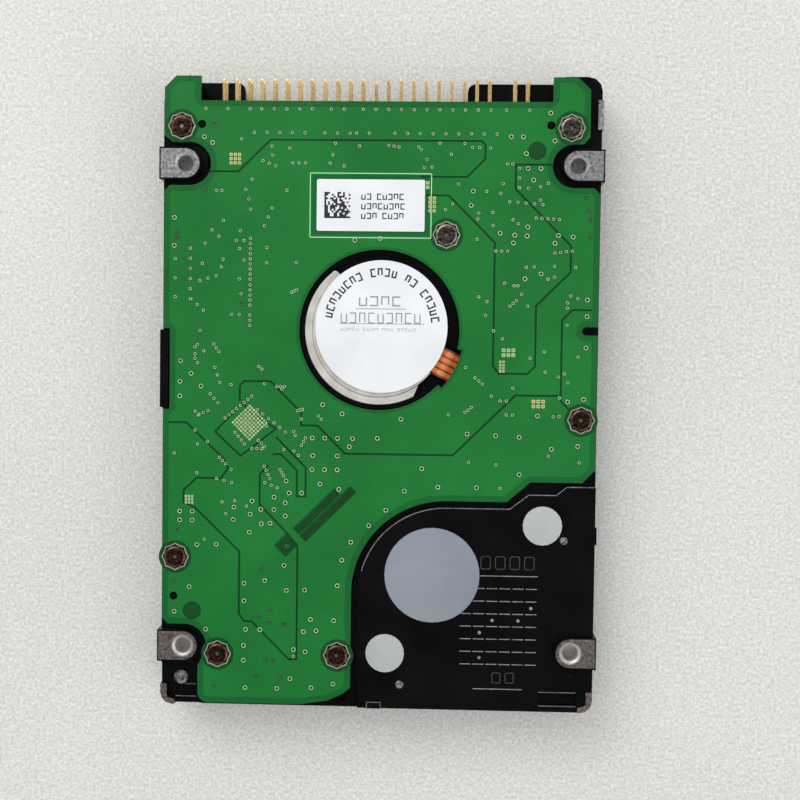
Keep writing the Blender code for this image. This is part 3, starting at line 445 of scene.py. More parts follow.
def casting_look():
    """Satin black coat over a die casting, bare on the bosses, the corner lands and one strip. The far
    bosses' holes are painted near white as a highlight; two posts and a dimple are painted grey, partly
    rubbed-off coat and partly painted highlight.
    """
    look = Look("black_coat", Specular_IOR_Level=0.32)
    x, y, z = look.axes()
    across = look.math("ABSOLUTE", x)
    from_near = look.math("ABSOLUTE", look.math("SUBTRACT", y, HOLE_NEAR_Y))
    from_far = look.math("ABSOLUTE", look.math("SUBTRACT", y, HOLE_FAR_Y))
    along = look.math("MINIMUM", from_near, from_far)
    inward = look.math("MAXIMUM", look.math("SUBTRACT", HOLE_X, across), 0.0)
    beside = look.vector("LENGTH", look.point(inward, along, 0.0))
    boss = look.math("MULTIPLY", look.math("LESS_THAN", beside, 2.28), look.math("GREATER_THAN", z, 6.2))
    boss = look.math("MULTIPLY", boss, look.math("LESS_THAN", across, 34.72))
    corner = look.math("MULTIPLY", look.math("GREATER_THAN", z, 8.86), look.math("LESS_THAN", y, -46.7))
    corner = look.math("MULTIPLY", corner, look.math("GREATER_THAN", across, 32.15))
    strip = look.math("MULTIPLY", look.math("GREATER_THAN", x, 33.82), look.math("GREATER_THAN", y, 41.7))
    strip = look.math("MULTIPLY", strip, look.math("GREATER_THAN", z, 8.6))
    bare = look.math("MAXIMUM", boss, look.math("MAXIMUM", corner, strip))
    posts = 0.0
    for (post_x, post_y), radius in POSTS:
        from_post = look.point(look.math("SUBTRACT", x, post_x), look.math("SUBTRACT", y, post_y), 0.0)
        reach = look.vector("LENGTH", from_post)
        posts = look.math("MAXIMUM", posts, look.math("LESS_THAN", reach, radius))
    posts = look.math("MULTIPLY", posts, look.math("GREATER_THAN", z, 7.0))
    hole = look.vector("LENGTH", look.point(look.math("SUBTRACT", across, HOLE_X), along, 0.0))
    thread = look.math("MULTIPLY", look.math("LESS_THAN", hole, 1.4), boss)

    mottle = look.noise(2.2, 5.0, rough=0.7)
    patch = look.noise(0.12, 3.0)
    coat = look.blend(look.remap(patch, 0.3, 0.7), srgb(4, 4, 5), srgb(11, 11, 13))
    silver = look.blend(look.remap(mottle, 0.35, 0.65), srgb(150, 149, 148), srgb(212, 212, 212))
    brown = look.blend(look.remap(mottle, 0.35, 0.65), srgb(104, 92, 87), srgb(172, 162, 158))
    # Bare metal: browner towards the far end, silver towards the near end.
    bare_metal_and_glint = look.blend(look.remap(y, -20.0, 20.0), brown, silver)
    # Painted highlight: the holes of the far bosses are blended towards near white, standing in for the glint
    # in them.
    painted_hole_glint = look.math("MULTIPLY", look.math("LESS_THAN", hole, 1.78), look.math("LESS_THAN", y, 0.0))
    bare_metal_and_glint = look.blend(look.math("MULTIPLY", painted_hole_glint, 0.8), bare_metal_and_glint, srgb(226, 224, 220))
    # Painted highlight with some rubbed-off coat: the posts and the dimple are blended towards grey.
    tips = look.blend(look.remap(mottle, 0.4, 0.6), srgb(60, 60, 62), srgb(196, 196, 198))
    coat = look.blend(look.math("MULTIPLY", posts, 0.45), coat, tips)
    look.colour(look.blend(bare, coat, bare_metal_and_glint))
    look.feed(look.shader.inputs["Metallic"], look.blend(bare, 0.0, 0.8))
    coat_rough = look.remap(look.noise(6.0, 4.0), 0.3, 0.7, 0.2, 0.34)
    look.roughness(look.blend(bare, coat_rough, look.remap(mottle, 0.3, 0.7, 0.22, 0.5)))
    pebbles = look.noise(3.5, 3.0)
    ridges = look.waves(0.63, "Z")
    look.bump(look.blend(thread, pebbles, ridges), 0.008, 0.5)
    return look.material


def solder_mask(name, dark, light, weave=0.35):
    """Green lacquer over glass cloth: the weave shows faintly, and dust and handling vary the gloss."""
    look = Look(name, 0.0, Specular_IOR_Level=0.36)
    cloth = look.math("ADD", look.waves(0.55, "X", 0.6), look.waves(0.55, "Y", 0.6))
    patch = look.noise(0.07, 4.0, rough=0.6)
    fine = look.noise(5.0, 4.0, rough=0.7)
    share = look.blend(weave, look.remap(patch, 0.35, 0.65), look.math("MULTIPLY", cloth, 0.5))
    look.colour(look.blend(look.blend(0.3, share, fine), dark, light))
    look.roughness(look.remap(fine, 0.3, 0.7, 0.28, 0.44))
    look.bump(look.math("ADD", look.math("MULTIPLY", cloth, 0.3), fine), 0.006, 0.5)
    return look.material


def screw_look(name, dark, light):
    """A plated head: turning marks around its piece's origin, mottled by handling, with a painted glint at
    its centre.
    """
    look = Look(name, 1.0)
    x, y, _ = look.axes()
    reach = look.vector("LENGTH", look.point(x, y, 0.0))
    angle = look.math("ARCTAN2", y, x)
    polar = look.point(look.math("MULTIPLY", angle, 3.0), look.math("MULTIPLY", reach, 0.8), 0.0)
    spokes = look.noise(1.0, 3.0, place=polar)
    patch = look.noise(1.6, 4.0, rough=0.7)
    share = look.blend(0.5, spokes, patch)
    plain = look.blend(look.remap(share, 0.35, 0.65), dark, light)
    # Painted highlight: the head's centre is blended towards a pale colour, standing in for the glint in the
    # socket.
    point = look.remap(look.math("ADD", reach, look.math("MULTIPLY", spokes, 0.3)), 0.3, 0.55, 1.0, 0.0)
    look.colour(look.blend(point, plain, srgb(226, 216, 206)))
    look.roughness(look.remap(patch, 0.3, 0.7, 0.22, 0.46))
    look.bump(look.noise(9.0, 3.0, place=look.point(reach, 0.0, 0.0)), 0.01, 0.5)
    return look.material


def brushed(name, dark, light, axis_stretch, rough=(0.22, 0.4)):
    """Steel sheet with fine straight grain, and cloudy patches over it."""
    look = Look(name, 1.0)
    grain = look.noise(6.0, 4.0, axis_stretch, rough=0.7)
    cloud = look.noise(0.08, 3.0)
    share = look.blend(0.4, grain, cloud)
    look.colour(look.blend(look.remap(share, 0.35, 0.65), dark, light))
    look.roughness(look.remap(grain, 0.3, 0.7, rough[0], rough[1]))
    look.bump(grain, 0.004, 0.5)
    return look.material


def turned_metal(name, dark, light, centre, rough=(0.24, 0.4), metallic=1.0):
    """Metal faced on a lathe: fine rings around a centre."""
    look = Look(name, metallic)
    away = look.vector("SUBTRACT", look.place, (centre[0], centre[1], 0.0))
    x, y, z = look.axes(away)
    reach = look.vector("LENGTH", look.point(x, y, 0.0))
    rings = look.noise(7.0, 3.0, place=look.point(reach, look.math("MULTIPLY", z, 0.3), 0.0))
    cloud = look.noise(0.25, 4.0, rough=0.6)
    look.colour(look.blend(look.remap(look.blend(0.6, rings, cloud), 0.35, 0.65), dark, light))
    look.roughness(look.remap(rings, 0.3, 0.7, rough[0], rough[1]))
    look.bump(rings, 0.005, 0.5)
    return look.material


def paper(name, dark, light):
    """Printed label film: a soft sheen, fine fibres, and slow clouds of grey."""
    look = Look(name, 0.0)
    fibre = look.noise(8.0, 3.0, rough=0.7)
    cloud = look.noise(0.11, 3.0)
    look.colour(look.blend(look.remap(look.blend(0.35, cloud, fibre), 0.3, 0.7), dark, light))
    look.roughness(look.remap(fibre, 0.3, 0.7, 0.42, 0.6))
    look.bump(fibre, 0.004, 0.5)
    return look.material


def cloth_look():
    """Non-woven filter felt."""
    look = Look("filter_cloth", 0.0, Sheen_Weight=0.3)
    fibres = look.noise(3.0, 5.0, (1.0, 1.0, 3.0), rough=0.8)
    look.colour(look.blend(look.remap(fibres, 0.3, 0.7), srgb(205, 204, 198), srgb(238, 238, 234)))
    look.roughness(look.remap(fibres, 0.3, 0.7, 0.8, 0.95))
    look.bump(fibres, 0.06, 0.8)
    return look.material


def floor_look():
    """A pale painted surface with a fine speckle."""
    look = Look("floor", 0.0)
    grain = look.noise(2.0, 3.0, rough=0.8)
    cloud = look.noise(0.012, 2.0)
    specks = look.remap(look.cells(1.2), 0.0, 0.3, 1.0, 0.0)
    share = look.remap(look.blend(0.12, grain, cloud), 0.36, 0.64)
    base = look.blend(share, srgb(180, 180, 175), srgb(218, 217, 213))
    look.colour(look.blend(look.math("MULTIPLY", specks, 0.5), base, srgb(236, 236, 233)))
    look.roughness(look.remap(grain, 0.3, 0.7, 0.6, 0.8))
    look.bump(grain, 0.05, 0.35)
    return look.material


# Common finishes: material, dark and light colours, metallic, roughness range, patches and grains per mm,
# bump in millimetres, and a stretch of the pattern where it has one.
FINISHES = {
    "via": ("via_ring", (120, 168, 112), (186, 214, 170), 0.2, (0.3, 0.45), 1.0, 6.0, 0.004),
    "via_dim": ("via_dim", (44, 96, 50), (78, 128, 78), 0.1, (0.3, 0.45), 1.0, 6.0, 0.004),
    "pad": ("pad", (140, 164, 112), (206, 214, 172), 0.2, (0.3, 0.45), 1.0, 6.0, 0.004),
    "orange_pad": ("orange_pad", (176, 160, 96), (218, 206, 146), 0.2, (0.3, 0.45), 1.0, 6.0, 0.004),
    # via_hole: painted shade, a dark disc in place of the shaded inside of a hole.
    "via_hole": ("via_hole", (4, 14, 8), (14, 30, 18), 0.0, (0.5, 0.7), 0.3, 4.0, 0.01),
    "silk": ("silkscreen", (140, 200, 150), (166, 218, 172), 0.0, (0.5, 0.7), 0.3, 6.0, 0.003),
    "tin": ("tinned_pad", (150, 142, 126), (214, 208, 196), 0.5, (0.25, 0.5), 1.2, 5.0, 0.01),
    # pad_shade: painted shadow round the screw heads.
    "pad_shade": ("pad_under_screw", (24, 22, 18), (70, 64, 54), 1.0, (0.3, 0.5), 1.2, 5.0, 0.01),
    "gold": ("gold", (196, 152, 78), (240, 214, 156), 0.6, (0.22, 0.4), 0.5, 3.0, 0.006, (2, 0.5, 2)),
    "plastic": ("black_plastic", (16, 16, 17), (30, 30, 31), 0.0, (0.42, 0.6), 0.3, 5.0, 0.012),
    "ink": ("label_ink", (18, 18, 20), (40, 40, 44), 0.0, (0.45, 0.6), 0.3, 8.0, 0.002),
    "grey_ink": ("label_grey_ink", (120, 122, 128), (150, 152, 158), 0.0, (0.45, 0.6), 0.3, 8.0, 0.002),
    "polyimide": ("polyimide", (70, 26, 8), (120, 52, 16), 0.0, (0.25, 0.4), 0.6, 5.0, 0.004),
    "flex_copper": ("flex_copper", (176, 82, 24), (216, 124, 50), 0.3, (0.25, 0.42), 0.8, 4.0, 0.006),
    "foil": ("foil", (130, 137, 146), (152, 159, 168), 0.45, (0.5, 0.62), 0.1, 7.0, 0.006),
    "foil_light": ("foil_light", (166, 171, 172), (194, 199, 198), 0.45, (0.5, 0.62), 0.1, 7.0, 0.006),
    "rubber": ("rubber", (20, 20, 20), (38, 38, 38), 0.0, (0.7, 0.9), 0.3, 3.0, 0.02),
    "epoxy": ("chip_epoxy", (26, 26, 28), (44, 44, 46), 0.0, (0.5, 0.66), 0.3, 9.0, 0.01),
    "laminate": (
        "silicon_steel", (88, 88, 94), (136, 136, 142), 1.0, (0.32, 0.5), 0.4, 4.0, 0.01, (0.3, 0.3, 6),
    ),
    "copper": ("copper", (150, 70, 34), (214, 124, 70), 1.0, (0.22, 0.4), 0.5, 2.5, 0.03, (1, 1, 5)),
    "aluminium": (
        "bare_aluminium", (150, 151, 153), (204, 205, 207), 1.0, (0.26, 0.42), 0.4, 4.0, 0.006, (0.3, 3, 3),
    ),
    "magnet": ("magnet", (134, 134, 138), (190, 190, 194), 1.0, (0.14, 0.3), 0.2, 4.0, 0.004),
    "ivory": ("ivory_plastic", (206, 198, 176), (228, 222, 204), 0.0, (0.4, 0.55), 0.3, 4.0, 0.01),
    # lip: painted highlight, grey over the black coat along the bay's edge and the far end's steps.
    "lip": ("coat_lip", (70, 70, 74), (140, 140, 146), 0.4, (0.2, 0.36), 0.8, 4.0, 0.004),
    # cast_mark_dim and cast_mark: painted highlight, grey standing in for the light that the raised marks
    # catch.
    "cast_mark_dim": ("cast_mark_dim", (34, 34, 38), (72, 72, 78), 0.2, (0.3, 0.5), 0.8, 4.0, 0.01),
    "cast_mark": ("cast_mark", (86, 86, 92), (168, 168, 174), 0.3, (0.3, 0.5), 0.8, 4.0, 0.01),
}


def make_looks():
    """Every material, by the name that the builders below use."""
    looks = {}
    for key, (name, dark, light, *rest) in FINISHES.items():
        looks[key] = mottled(name, srgb(*dark), srgb(*light), *rest)
    looks["black_coat"] = casting_look()
    looks["pour"] = solder_mask("solder_mask_pour", srgb(8, 93, 32), srgb(20, 116, 45))
    looks["border"] = solder_mask("solder_mask_border", srgb(4, 82, 32), srgb(8, 96, 40), 0.2)
    looks["mark"] = solder_mask("solder_mask_mark", srgb(6, 58, 24), srgb(13, 72, 31), 0.2)
    looks["trace"] = solder_mask("solder_mask_trace", srgb(4, 44, 18), srgb(8, 58, 25), 0.2)
    looks["screw_dark"] = screw_look("screw_steel", srgb(34, 20, 16), srgb(132, 98, 84))
    looks["screw_grey"] = screw_look("screw_steel_grey", srgb(46, 40, 36), srgb(176, 166, 154))
    looks["cover_screw"] = screw_look("screw_steel_cover", srgb(52, 50, 50), srgb(128, 124, 120))
    steel_dark, steel_light = srgb(176, 172, 164), srgb(222, 219, 212)
    looks["motor"] = turned_metal("motor_steel", steel_dark, steel_light, SPINDLE, (0.34, 0.5), 0.35)
    looks["paper"] = paper("white_label", srgb(205, 207, 210), srgb(222, 224, 226))
    looks["steel"] = brushed("stainless", srgb(140, 140, 143), srgb(196, 196, 198), (0.04, 2.0, 1.0))
    disc_dark, disc_light = srgb(196, 196, 200), srgb(222, 222, 226)
    looks["disc"] = turned_metal("mirror_disc", disc_dark, disc_light, (0.0, 0.0), (0.03, 0.07))
    looks["cloth"] = cloth_look()
    return looks


# --- CAD nodes that keep their shape ----------------------------------------------------------------


KEPT = {
    "black_coat": ("base_casting",),
    "steel": (
        "top_cover", "bearing_sleeve", "spindle_shaft", "disk_clamp", "pivot_bearing", "pivot_shaft",
        "suspension_cover_side", "suspension_base_side",
    ),
    "rubber": ("cover_gasket", "crash_stop_inner", "crash_stop_outer"),
    "epoxy": ("controller_chip", "motor_driver_chip", "memory_chip", "slider_cover_side", "slider_base_side"),
    "plastic": ("connector_housing",),
    "polyimide": ("flex_loop",),
    "laminate": ("stator_core",),
    "copper": ("stator_windings", "voice_coil"),
    "aluminium": ("spindle_hub", "actuator_arm"),
    "magnet": (
        "rotor_magnet", "vcm_yoke_cover_side", "vcm_yoke_base_side",
        "vcm_magnet_cover_side", "vcm_magnet_base_side",
    ),
    "disc": ("platter",),
    "ivory": ("parking_ramp", "flex_bracket", "inertia_latch"),
    "cloth": ("recirculation_filter", "breather_filter"),
    "foil": ("pivot_seal",),
    "foil_light": ("vent_seal_upper", "vent_seal_lower"),
    "screw_dark": ("clamp_screw",),
}
EDGE_WIDTHS = {"base_casting": 0.16, "top_cover": 0.12, "connector_housing": 0.1, "pivot_seal": 0.03}
EDGE_WIDTHS.update({"vent_seal_upper": 0.03, "vent_seal_lower": 0.03, "cover_gasket": 0.05})
USUAL_EDGE = 0.04


def soften(thing, width_mm):
    """Rounds a CAD node's sharp edges a little, so that they catch the light."""
    flat = thing.modifiers.new("flat", "DECIMATE")
    flat.decimate_type = "DISSOLVE"
    flat.angle_limit = math.radians(0.5)
    edge = thing.modifiers.new("edge", "BEVEL")
    edge.width = width_mm * MM
    edge.segments = 2
    edge.limit_method = "ANGLE"
    edge.angle_limit = math.radians(32)
    edge.use_clamp_overlap = True
    edge.harden_normals = False


def dress_cad_nodes(looks):
    """Gives each carried-over CAD node its material and its softened edges."""
    for look, names in KEPT.items():
        for name in names:
            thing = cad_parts[name]
            thing.data.materials.clear()
            thing.data.materials.append(looks[look])
            soften(thing, EDGE_WIDTHS.get(name, USUAL_EDGE))


# --- Circuit board ----------------------------------------------------------------------------------


BORDER = 0.95  # the dark border between the copper pour and the board's edge
MOTOR_BORDER = 0.45
SILK_LINE = 0.3  # from the pale frame's outer edge to the pour inside it


def fastener_holes():
    """The holes for the board's screws and for the casting's locating pins."""
    return [circle(at, 1.0, 24) for at in BOARD_SCREWS] + [circle(at, 0.65, 16) for at in LOCATING_PINS]


def circuit_board(looks):
    """The board's core with its dark border, and the copper pour that stands a little proud inside it."""
    core = plate([board_outline(), motor_hole(), *fastener_holes()], BOARD_LOW, BOARD_TOP - 0.03, 0.04)
    piece("circuit_board_core", core, [looks["border"]], ("circuit_board",))
    (left, front), (right, back) = SILK_FRAME
    silk_gap = rectangle((left + SILK_LINE, front + SILK_LINE), (right - SILK_LINE, back - SILK_LINE), 0.2)
    cuts = [motor_hole(MOTOR_BORDER), silk_gap, *fastener_holes()]
    pour = plate([drawn_in(board_outline(), BORDER), *cuts], BOARD_TOP - 0.05, BOARD_TOP, 0.012)
    piece("circuit_board_pour", pour, [looks["pour"]])


TRACES = [
    [
        (-27.1, 34.9), (-22.5, 34.9), (-17.4, 39.9), (15.7, 39.9), (16.3, 39.3), (16.3, 37.1),
        (13.5, 34.3), (6.3, 34.3),
    ],
    [
        (7, 31.4), (10.7, 31.4), (18, 24.1), (18, 4.8), (18.9, 3.6), (23.4, 3.6), (24.6, 4.8),
        (24.6, 14.3), (29.9, 19.6), (29.9, 23.7), (21.1, 32.5), (21.1, 36.3), (26.8, 36.3),
    ],
    [(33.3, 13.7), (30.3, 13.7), (28.7, 12.1), (28.7, -0.6), (30.2, -2.1)],
    [
        (-22, -1.3), (-22, 1.2), (-21.3, 1.9), (-17.1, 1.9), (-12.2, -3), (-12.2, -5), (-9.6, -5),
        (-5.2, -9.4), (11.9, -9.4), (21.6, 0.2), (28.7, 0.2),
    ],
    [
        (-33.4, -4.8), (-30.5, -4.8), (-24.4, -10.6), (-23.8, -12), (-24.9, -13.6), (-28.8, -13.6),
        (-30.9, -15.6), (-30.9, -17.6), (-29.1, -18.3), (-21.9, -25.3), (-21.9, -35.2), (-21.1, -36.4),
        (-19.8, -36.5), (-13.8, -42.5), (-12.6, -42.4), (-12.6, -24.4), (-14.2, -22.3), (-18.7, -17.7),
        (-18.7, -12.9), (-17.4, -11.5),
    ],
    [(-20, -3.2), (-21.6, -1.6), (-25.9, -6.2), (-21.8, -10), (-16.2, -5.6), (-20, -3.2)],
    [
        (-16.7, -9.7), (-15.4, -9.6), (-12.8, -12.2), (-12.8, -16.3), (-11.4, -16.3), (-11.4, -11.7),
        (-16.2, -6.9),
    ],
]


def traces(looks):
    """Gaps between copper areas, seen as thin dark lines."""
    mesh = bmesh.new()
    for path in TRACES:
        add_band(mesh, path, 0.3, BOARD_TOP - 0.02, BOARD_TOP + 0.008)
    piece("board_traces", mesh, [looks["trace"]])


# Vias: runs of (x, y, step x, step y, count), and single ones.
SMALL_RUNS = [
    (-18.9, 44.7, 2, 0, 5), (-7.9, 44.7, 2, 0, 2), (-2.9, 44.7, 2, 0, 1), (-0.9, 44.7, 2, 0, 10),
    (-20, 41, 2, 0, 5), (-8.9, 41, 2, 0, 3), (-3.9, 41, 2, 0, 2), (2.1, 41, 2, 0, 9),
    (-27.7, 44.7, 3.5, 0, 3), (19.5, 44.7, 3.6, 0, 2), (-20.5, 24.4, 0, -0.8, 9),
    (-20.5, 17.1, 0, -0.8, 5), (-20.5, 12.3, 0, -0.8, 3), (-30, 22.8, 0, -1.6, 6),
    (-32.4, 21.1, 0, -3, 3), (-26.2, 7.7, 0.4, -0.6, 3), (-26, 4, 0.4, -1.2, 3),
    (-26.7, -0.2, 0.6, -0.7, 3), (-27.1, -2.9, -0.7, -0.3, 3), (-29.1, -3, 0.5, -0.6, 2),
    (-20.1, -0.5, -0.6, -0.5, 8), (-19.2, -2.6, 0.9, -0.7, 6), (-22.7, -6.3, 0.5, -0.6, 4),
    (-19, -7.5, 0.5, -0.5, 3), (-20, -8.8, 0.8, 0, 3), (-15.5, -12.1, 0.3, -0.5, 3),
    (-18, -11.6, 0.3, -0.65, 4), (-17.9, -14.2, 1, -0.4, 3), (-25.6, -13.7, 1.2, -0.3, 3),
    (-25.2, -10.3, 0.5, -0.5, 3), (-13.4, -6, 0.3, -0.6, 2), (-11.5, -7, -0.3, -0.6, 3),
    (20.2, -2.9, 1, 0, 2), (19.2, -0.7, 1, 0, 2), (26.2, 3.9, 3, -0.2, 2), (27.6, -3.1, 0.9, 0.1, 2),
    (15.2, 2.9, 0.6, -0.5, 3), (13.7, -2.6, 0.5, 0.4, 3), (24.4, 28, 0.9, -0.05, 5),
    (20.8, 27.7, 0.8, -0.6, 2), (20.5, 14.2, 0.5, 0.45, 3), (20.2, 30.5, 1.3, -0.1, 5),
    (18.2, 22.8, 0.9, 0, 3), (27.4, 22.6, 0.9, 0.1, 4), (23, 20.3, 1.2, 0.1, 2), (27.4, 18.8, 0, 1.7, 2),
    (21.1, 17.4, 0.6, 0, 2), (29.5, 14.8, 0, -0.8, 2), (19.8, 36.4, 0.8, 0, 2), (21.7, 35.7, 0, -1.5, 3),
    (1.2, 39.1, 0.8, -0.1, 3), (5.9, 38.9, 0.4, -0.4, 2), (-18.6, 36.6, 1, -0.4, 3),
    (-13.9, 36.3, 1, 0, 3), (-8, 36.3, 0.4, 1.3, 2), (-18.3, 26.4, 0.6, 1.4, 3), (-17.9, 23, 0, -2.4, 2),
    (-13.9, 16, 0.4, 0.2, 3), (-23.4, 12.4, 1.2, 0, 2), (-28.5, 17.7, 1.3, 0.4, 3),
    (-29.9, 14.8, 1, -0.9, 3), (-28.4, 9.8, -0.4, -2.2, 3), (-16.1, 1.1, 0.6, 0, 3),
    (-12.8, -2.7, 0.4, 0.1, 3), (-19, 4.2, 0.5, -0.4, 2),
]
SMALL_SINGLES = [
    (-22, 40), (-17.2, 38.9), (-14.4, 38.6), (-17.1, 37.5), (-7.2, 39.4), (-5.8, 35.9), (-3.4, 39),
    (9.2, 39.5), (11, 37.8), (13.1, 39.5), (14.3, 38.9), (15.4, 38.9), (17.1, 38.8), (7.2, 37),
    (6.8, 35.7), (8, 35.8), (25, 32.9), (26.2, 33.4), (23.1, 32.6), (12.2, 33.2), (16.6, 32.1),
    (19.2, 33.3), (18.8, 31.8), (11.3, 30.1), (10.2, 29.2), (15.4, 28.7), (15.3, 27.8), (17.6, 28.8),
    (17.7, 26.8), (25, 30.8), (15.2, 24.6), (30.7, 20.4), (26.4, 18.5), (19.6, 17.8), (22.3, 16.1),
    (23.3, 14.2), (15.6, 15.6), (16.9, 14.9), (16.7, 12.7), (30, 15.9), (31.1, 15.5), (-21.3, 32.1),
    (-20.3, 33.7), (-20.8, 30.6), (-20.5, 29), (-14.8, 32), (-22.1, 25.6), (-22.7, 24.1), (-22.2, 22.8),
    (-21.5, 24.1), (-21.5, 21), (-22.2, 18), (-21.9, 15.7), (-25.9, 31.9), (-25.1, 31.9), (-24.8, 27.2),
    (-26.6, 25.7), (-25.5, 24.7), (-27.7, 23.6), (-28.1, 20.4), (-24.8, 21.1), (-25.1, 19.9),
    (-13.2, 20.7), (-27.8, 6.6), (-28.8, 4.7), (-29.2, 7.2), (-29.2, 6.1), (-23.4, 1.3), (-18.1, 1.5),
    (-15.3, 0.7), (-12.2, -4), (-9.5, -3.5), (-9, -4), (-13.3, -9.1), (-12.6, -9.8), (-14.9, -8.9),
    (-17.7, -5.2), (-20.1, -5.7), (-29.1, -6), (-28.7, -8.2), (-27.1, -7.8), (-32.4, -9.7),
    (-28.8, -12.8), (-23.3, -12.2), (-24.7, -17.4), (-20.8, -18), (-22.7, -17.2), (-24.1, -19.3),
    (29.5, 11.3), (31.3, 6.4), (26, 7.1), (28.3, 3.2), (29.8, 2.3), (18, 10.3), (19.4, 9.1), (23.8, 6.1),
    (13.7, 4.5), (21.2, 1.3), (17.8, 0), (11.1, -3), (28.5, -0.1), (26.9, -9.3), (18.7, -10.8),
    (14.4, -10.5), (31.8, -10.3), (19.4, -14.5), (-27.5, -23.4), (-13.1, -42),
]
LARGE = [
    (-27.9, 40.3), (-26.6, 39.4), (-32.6, 27.6), (-32.6, 23.2), (-4, 24.3), (0, 24.6), (26.4, 44.3),
    (27.1, 40), (20.3, 40.6), (22.2, 40.6), (22.7, 38), (23, 35.7), (25, 35.7), (23.9, 33.9),
    (14.5, 32.1), (14.2, 29.9), (18.8, 25.6), (21.1, 25.3), (23, 25.2), (23.1, 26.6), (20.9, 24.1),
    (27.9, 25.3), (30.2, 25.1), (27.4, 24.1), (25.3, 19.3), (22.8, 18.5), (32.6, 15.3), (32.6, 12.7),
    (-29.8, 3), (-28.2, 1), (-31.5, 5), (-31.6, 1.7), (-31.6, -0.6), (-8.8, -1.7), (-5.7, -3.1),
    (-4.5, -8.3), (-0.1, -6.9), (-4, -7), (-10.3, -9.8), (-6.4, -9.8), (-9.1, -14.3), (-6.1, -15.1),
    (-14.5, -13.9), (-14, -15.8), (-12, -15.8), (-16.4, -16.5), (-14.6, -17.4), (-14.6, -19.5),
    (-22.8, -18.2), (-22.9, -20.2), (-19.9, -17.2), (-20.2, -19.3), (-18.5, -18.5), (-16.4, -18.5),
    (1.4, -18.3), (32.5, 7.8), (29.8, -0.7), (32.3, -0.3), (25.1, -3), (3.6, -3.8), (14.1, -6),
    (18.6, -6.2), (22.3, -6.4), (27.4, -8.2), (31.5, -7.7), (7, -11.6), (22.4, -12.3), (4.3, -15.2),
    (9.6, -14.5), (15.7, -14.5), (-28.7, -24.3), (-25.6, -24.2), (-20.3, -22.2), (-18.4, -20.8),
    (-17, -20.7), (-29.9, -31.1), (-32.3, -35.1), (-21.1, -30.4), (-21.1, -33.2), (-17.8, -29.9),
    (-14.7, -27.4), (-14.3, -31.4), (-11.4, -31.3), (-27.2, -37.9), (-20.8, -37.8), (-18.5, -37.8),
    (-11.5, -38), (-9.5, -37.8), (-10.4, -36), (-6.7, -36.1), (-6.2, -30.5), (-5.5, -26.4), (-4.1, -23.5),
    (-1.3, -20.8), (-21.1, -40.4), (-21.1, -42.8), (-13.1, -40.9), (-11.2, -41.2), (-13.6, -45.6),
    (-10.2, -47), (-6.7, -46.3), (-20.8, -47.2), (-15.7, -47.2),
]
LARGE_RUNS = [
    (-10.4, -7, 2, 0, 3), (-10.4, -12, 2, 0, 3), (-31.5, -19, 2, 0, 2), (-31.5, -20.4, 2, 0, 2),
]
DIM = [
    (-26.3, 42.5), (-27.7, 32), (-32.1, 25.3), (-32.1, 24.5), (-32, -21.9), (-32.4, -30.2), (-18.3, -28),
    (-16.9, -34.6), (-18.7, -35.7), (-17, -36.6), (-14.6, -36.8), (-17.5, -42.7), (-16.4, -42.8),
    (-19.1, -45.3), (-15.2, -45.3), (-25.9, -47), (32.2, 31.3), (32.6, 29.2), (32.9, 27.8), (32.9, 25.1),
    (-21.9, 14.2), (-14.3, -24.3),
]


def spread(runs):
    """The single places of runs given as (x, y, step x, step y, count)."""
    return [(x + dx * i, y + dy * i) for x, y, dx, dy, count in runs for i in range(count)]


VIA_FINISHES = ("via", "via_dim", "via_hole", "mark")
HOLE_INDEX, SHADE_RING_INDEX = 2, 3


def add_via(mesh, at, outer, hole, ring_index=0, steps=10):
    """A plated ring, low and rounded, round a dark disc of painted shade in place of its hole, inside a
    darker ring of painted shade.
    """
    top = BOARD_TOP + 0.03
    middle = (outer + hole) / 2
    flat = BOARD_TOP + 0.006
    ring = [(outer, BOARD_TOP - 0.01), (middle + 0.04, top), (middle - 0.04, top), (hole, flat)]
    add_lathe(mesh, ring, steps, at, ring_index, closed=False)
    # Painted shade: a darker ring round the plated ring.
    shade_ring = [(outer + 0.1, BOARD_TOP), (outer + 0.09, BOARD_TOP + 0.004), (outer - 0.02, flat)]
    add_lathe(mesh, shade_ring, steps, at, SHADE_RING_INDEX, closed=False)
    # Painted shade: a dark disc at the board's face stands in for the hole.
    bottom = [(hole + 0.005, BOARD_TOP + 0.005), (hole * 0.4, BOARD_TOP + 0.004)]
    add_lathe(mesh, bottom, steps, at, HOLE_INDEX)


def vias(looks):
    """All plated holes, as one piece."""
    mesh = bmesh.new()
    for at in LARGE + spread(LARGE_RUNS):
        add_via(mesh, at, 0.4, 0.24, steps=12)
    for at in SMALL_SINGLES + spread(SMALL_RUNS):
        add_via(mesh, at, 0.28, 0.15)
    for at in DIM:
        add_via(mesh, at, 0.34, 0.2, ring_index=1)
    piece("board_vias", mesh, [looks[name] for name in VIA_FINISHES])


# Pad fields: (centre, columns, rows, pitch, 1 if gold-coloured)
PAD_FIELDS = [
    ((-23.0, 36.9), 3, 3, 0.66, 1),
    ((7.0, 33.0), 2, 2, 0.7, 0),
    ((8.1, 30.0), 2, 4, 0.66, 1),
    ((-30.0, -17.1), 3, 3, 0.5, 0),
    ((20.4, 6.9), 3, 2, 0.76, 0),
    ((19.4, 4.7), 2, 4, 0.5, 0),
    ((25.2, -1.1), 3, 2, 0.76, 1),
]


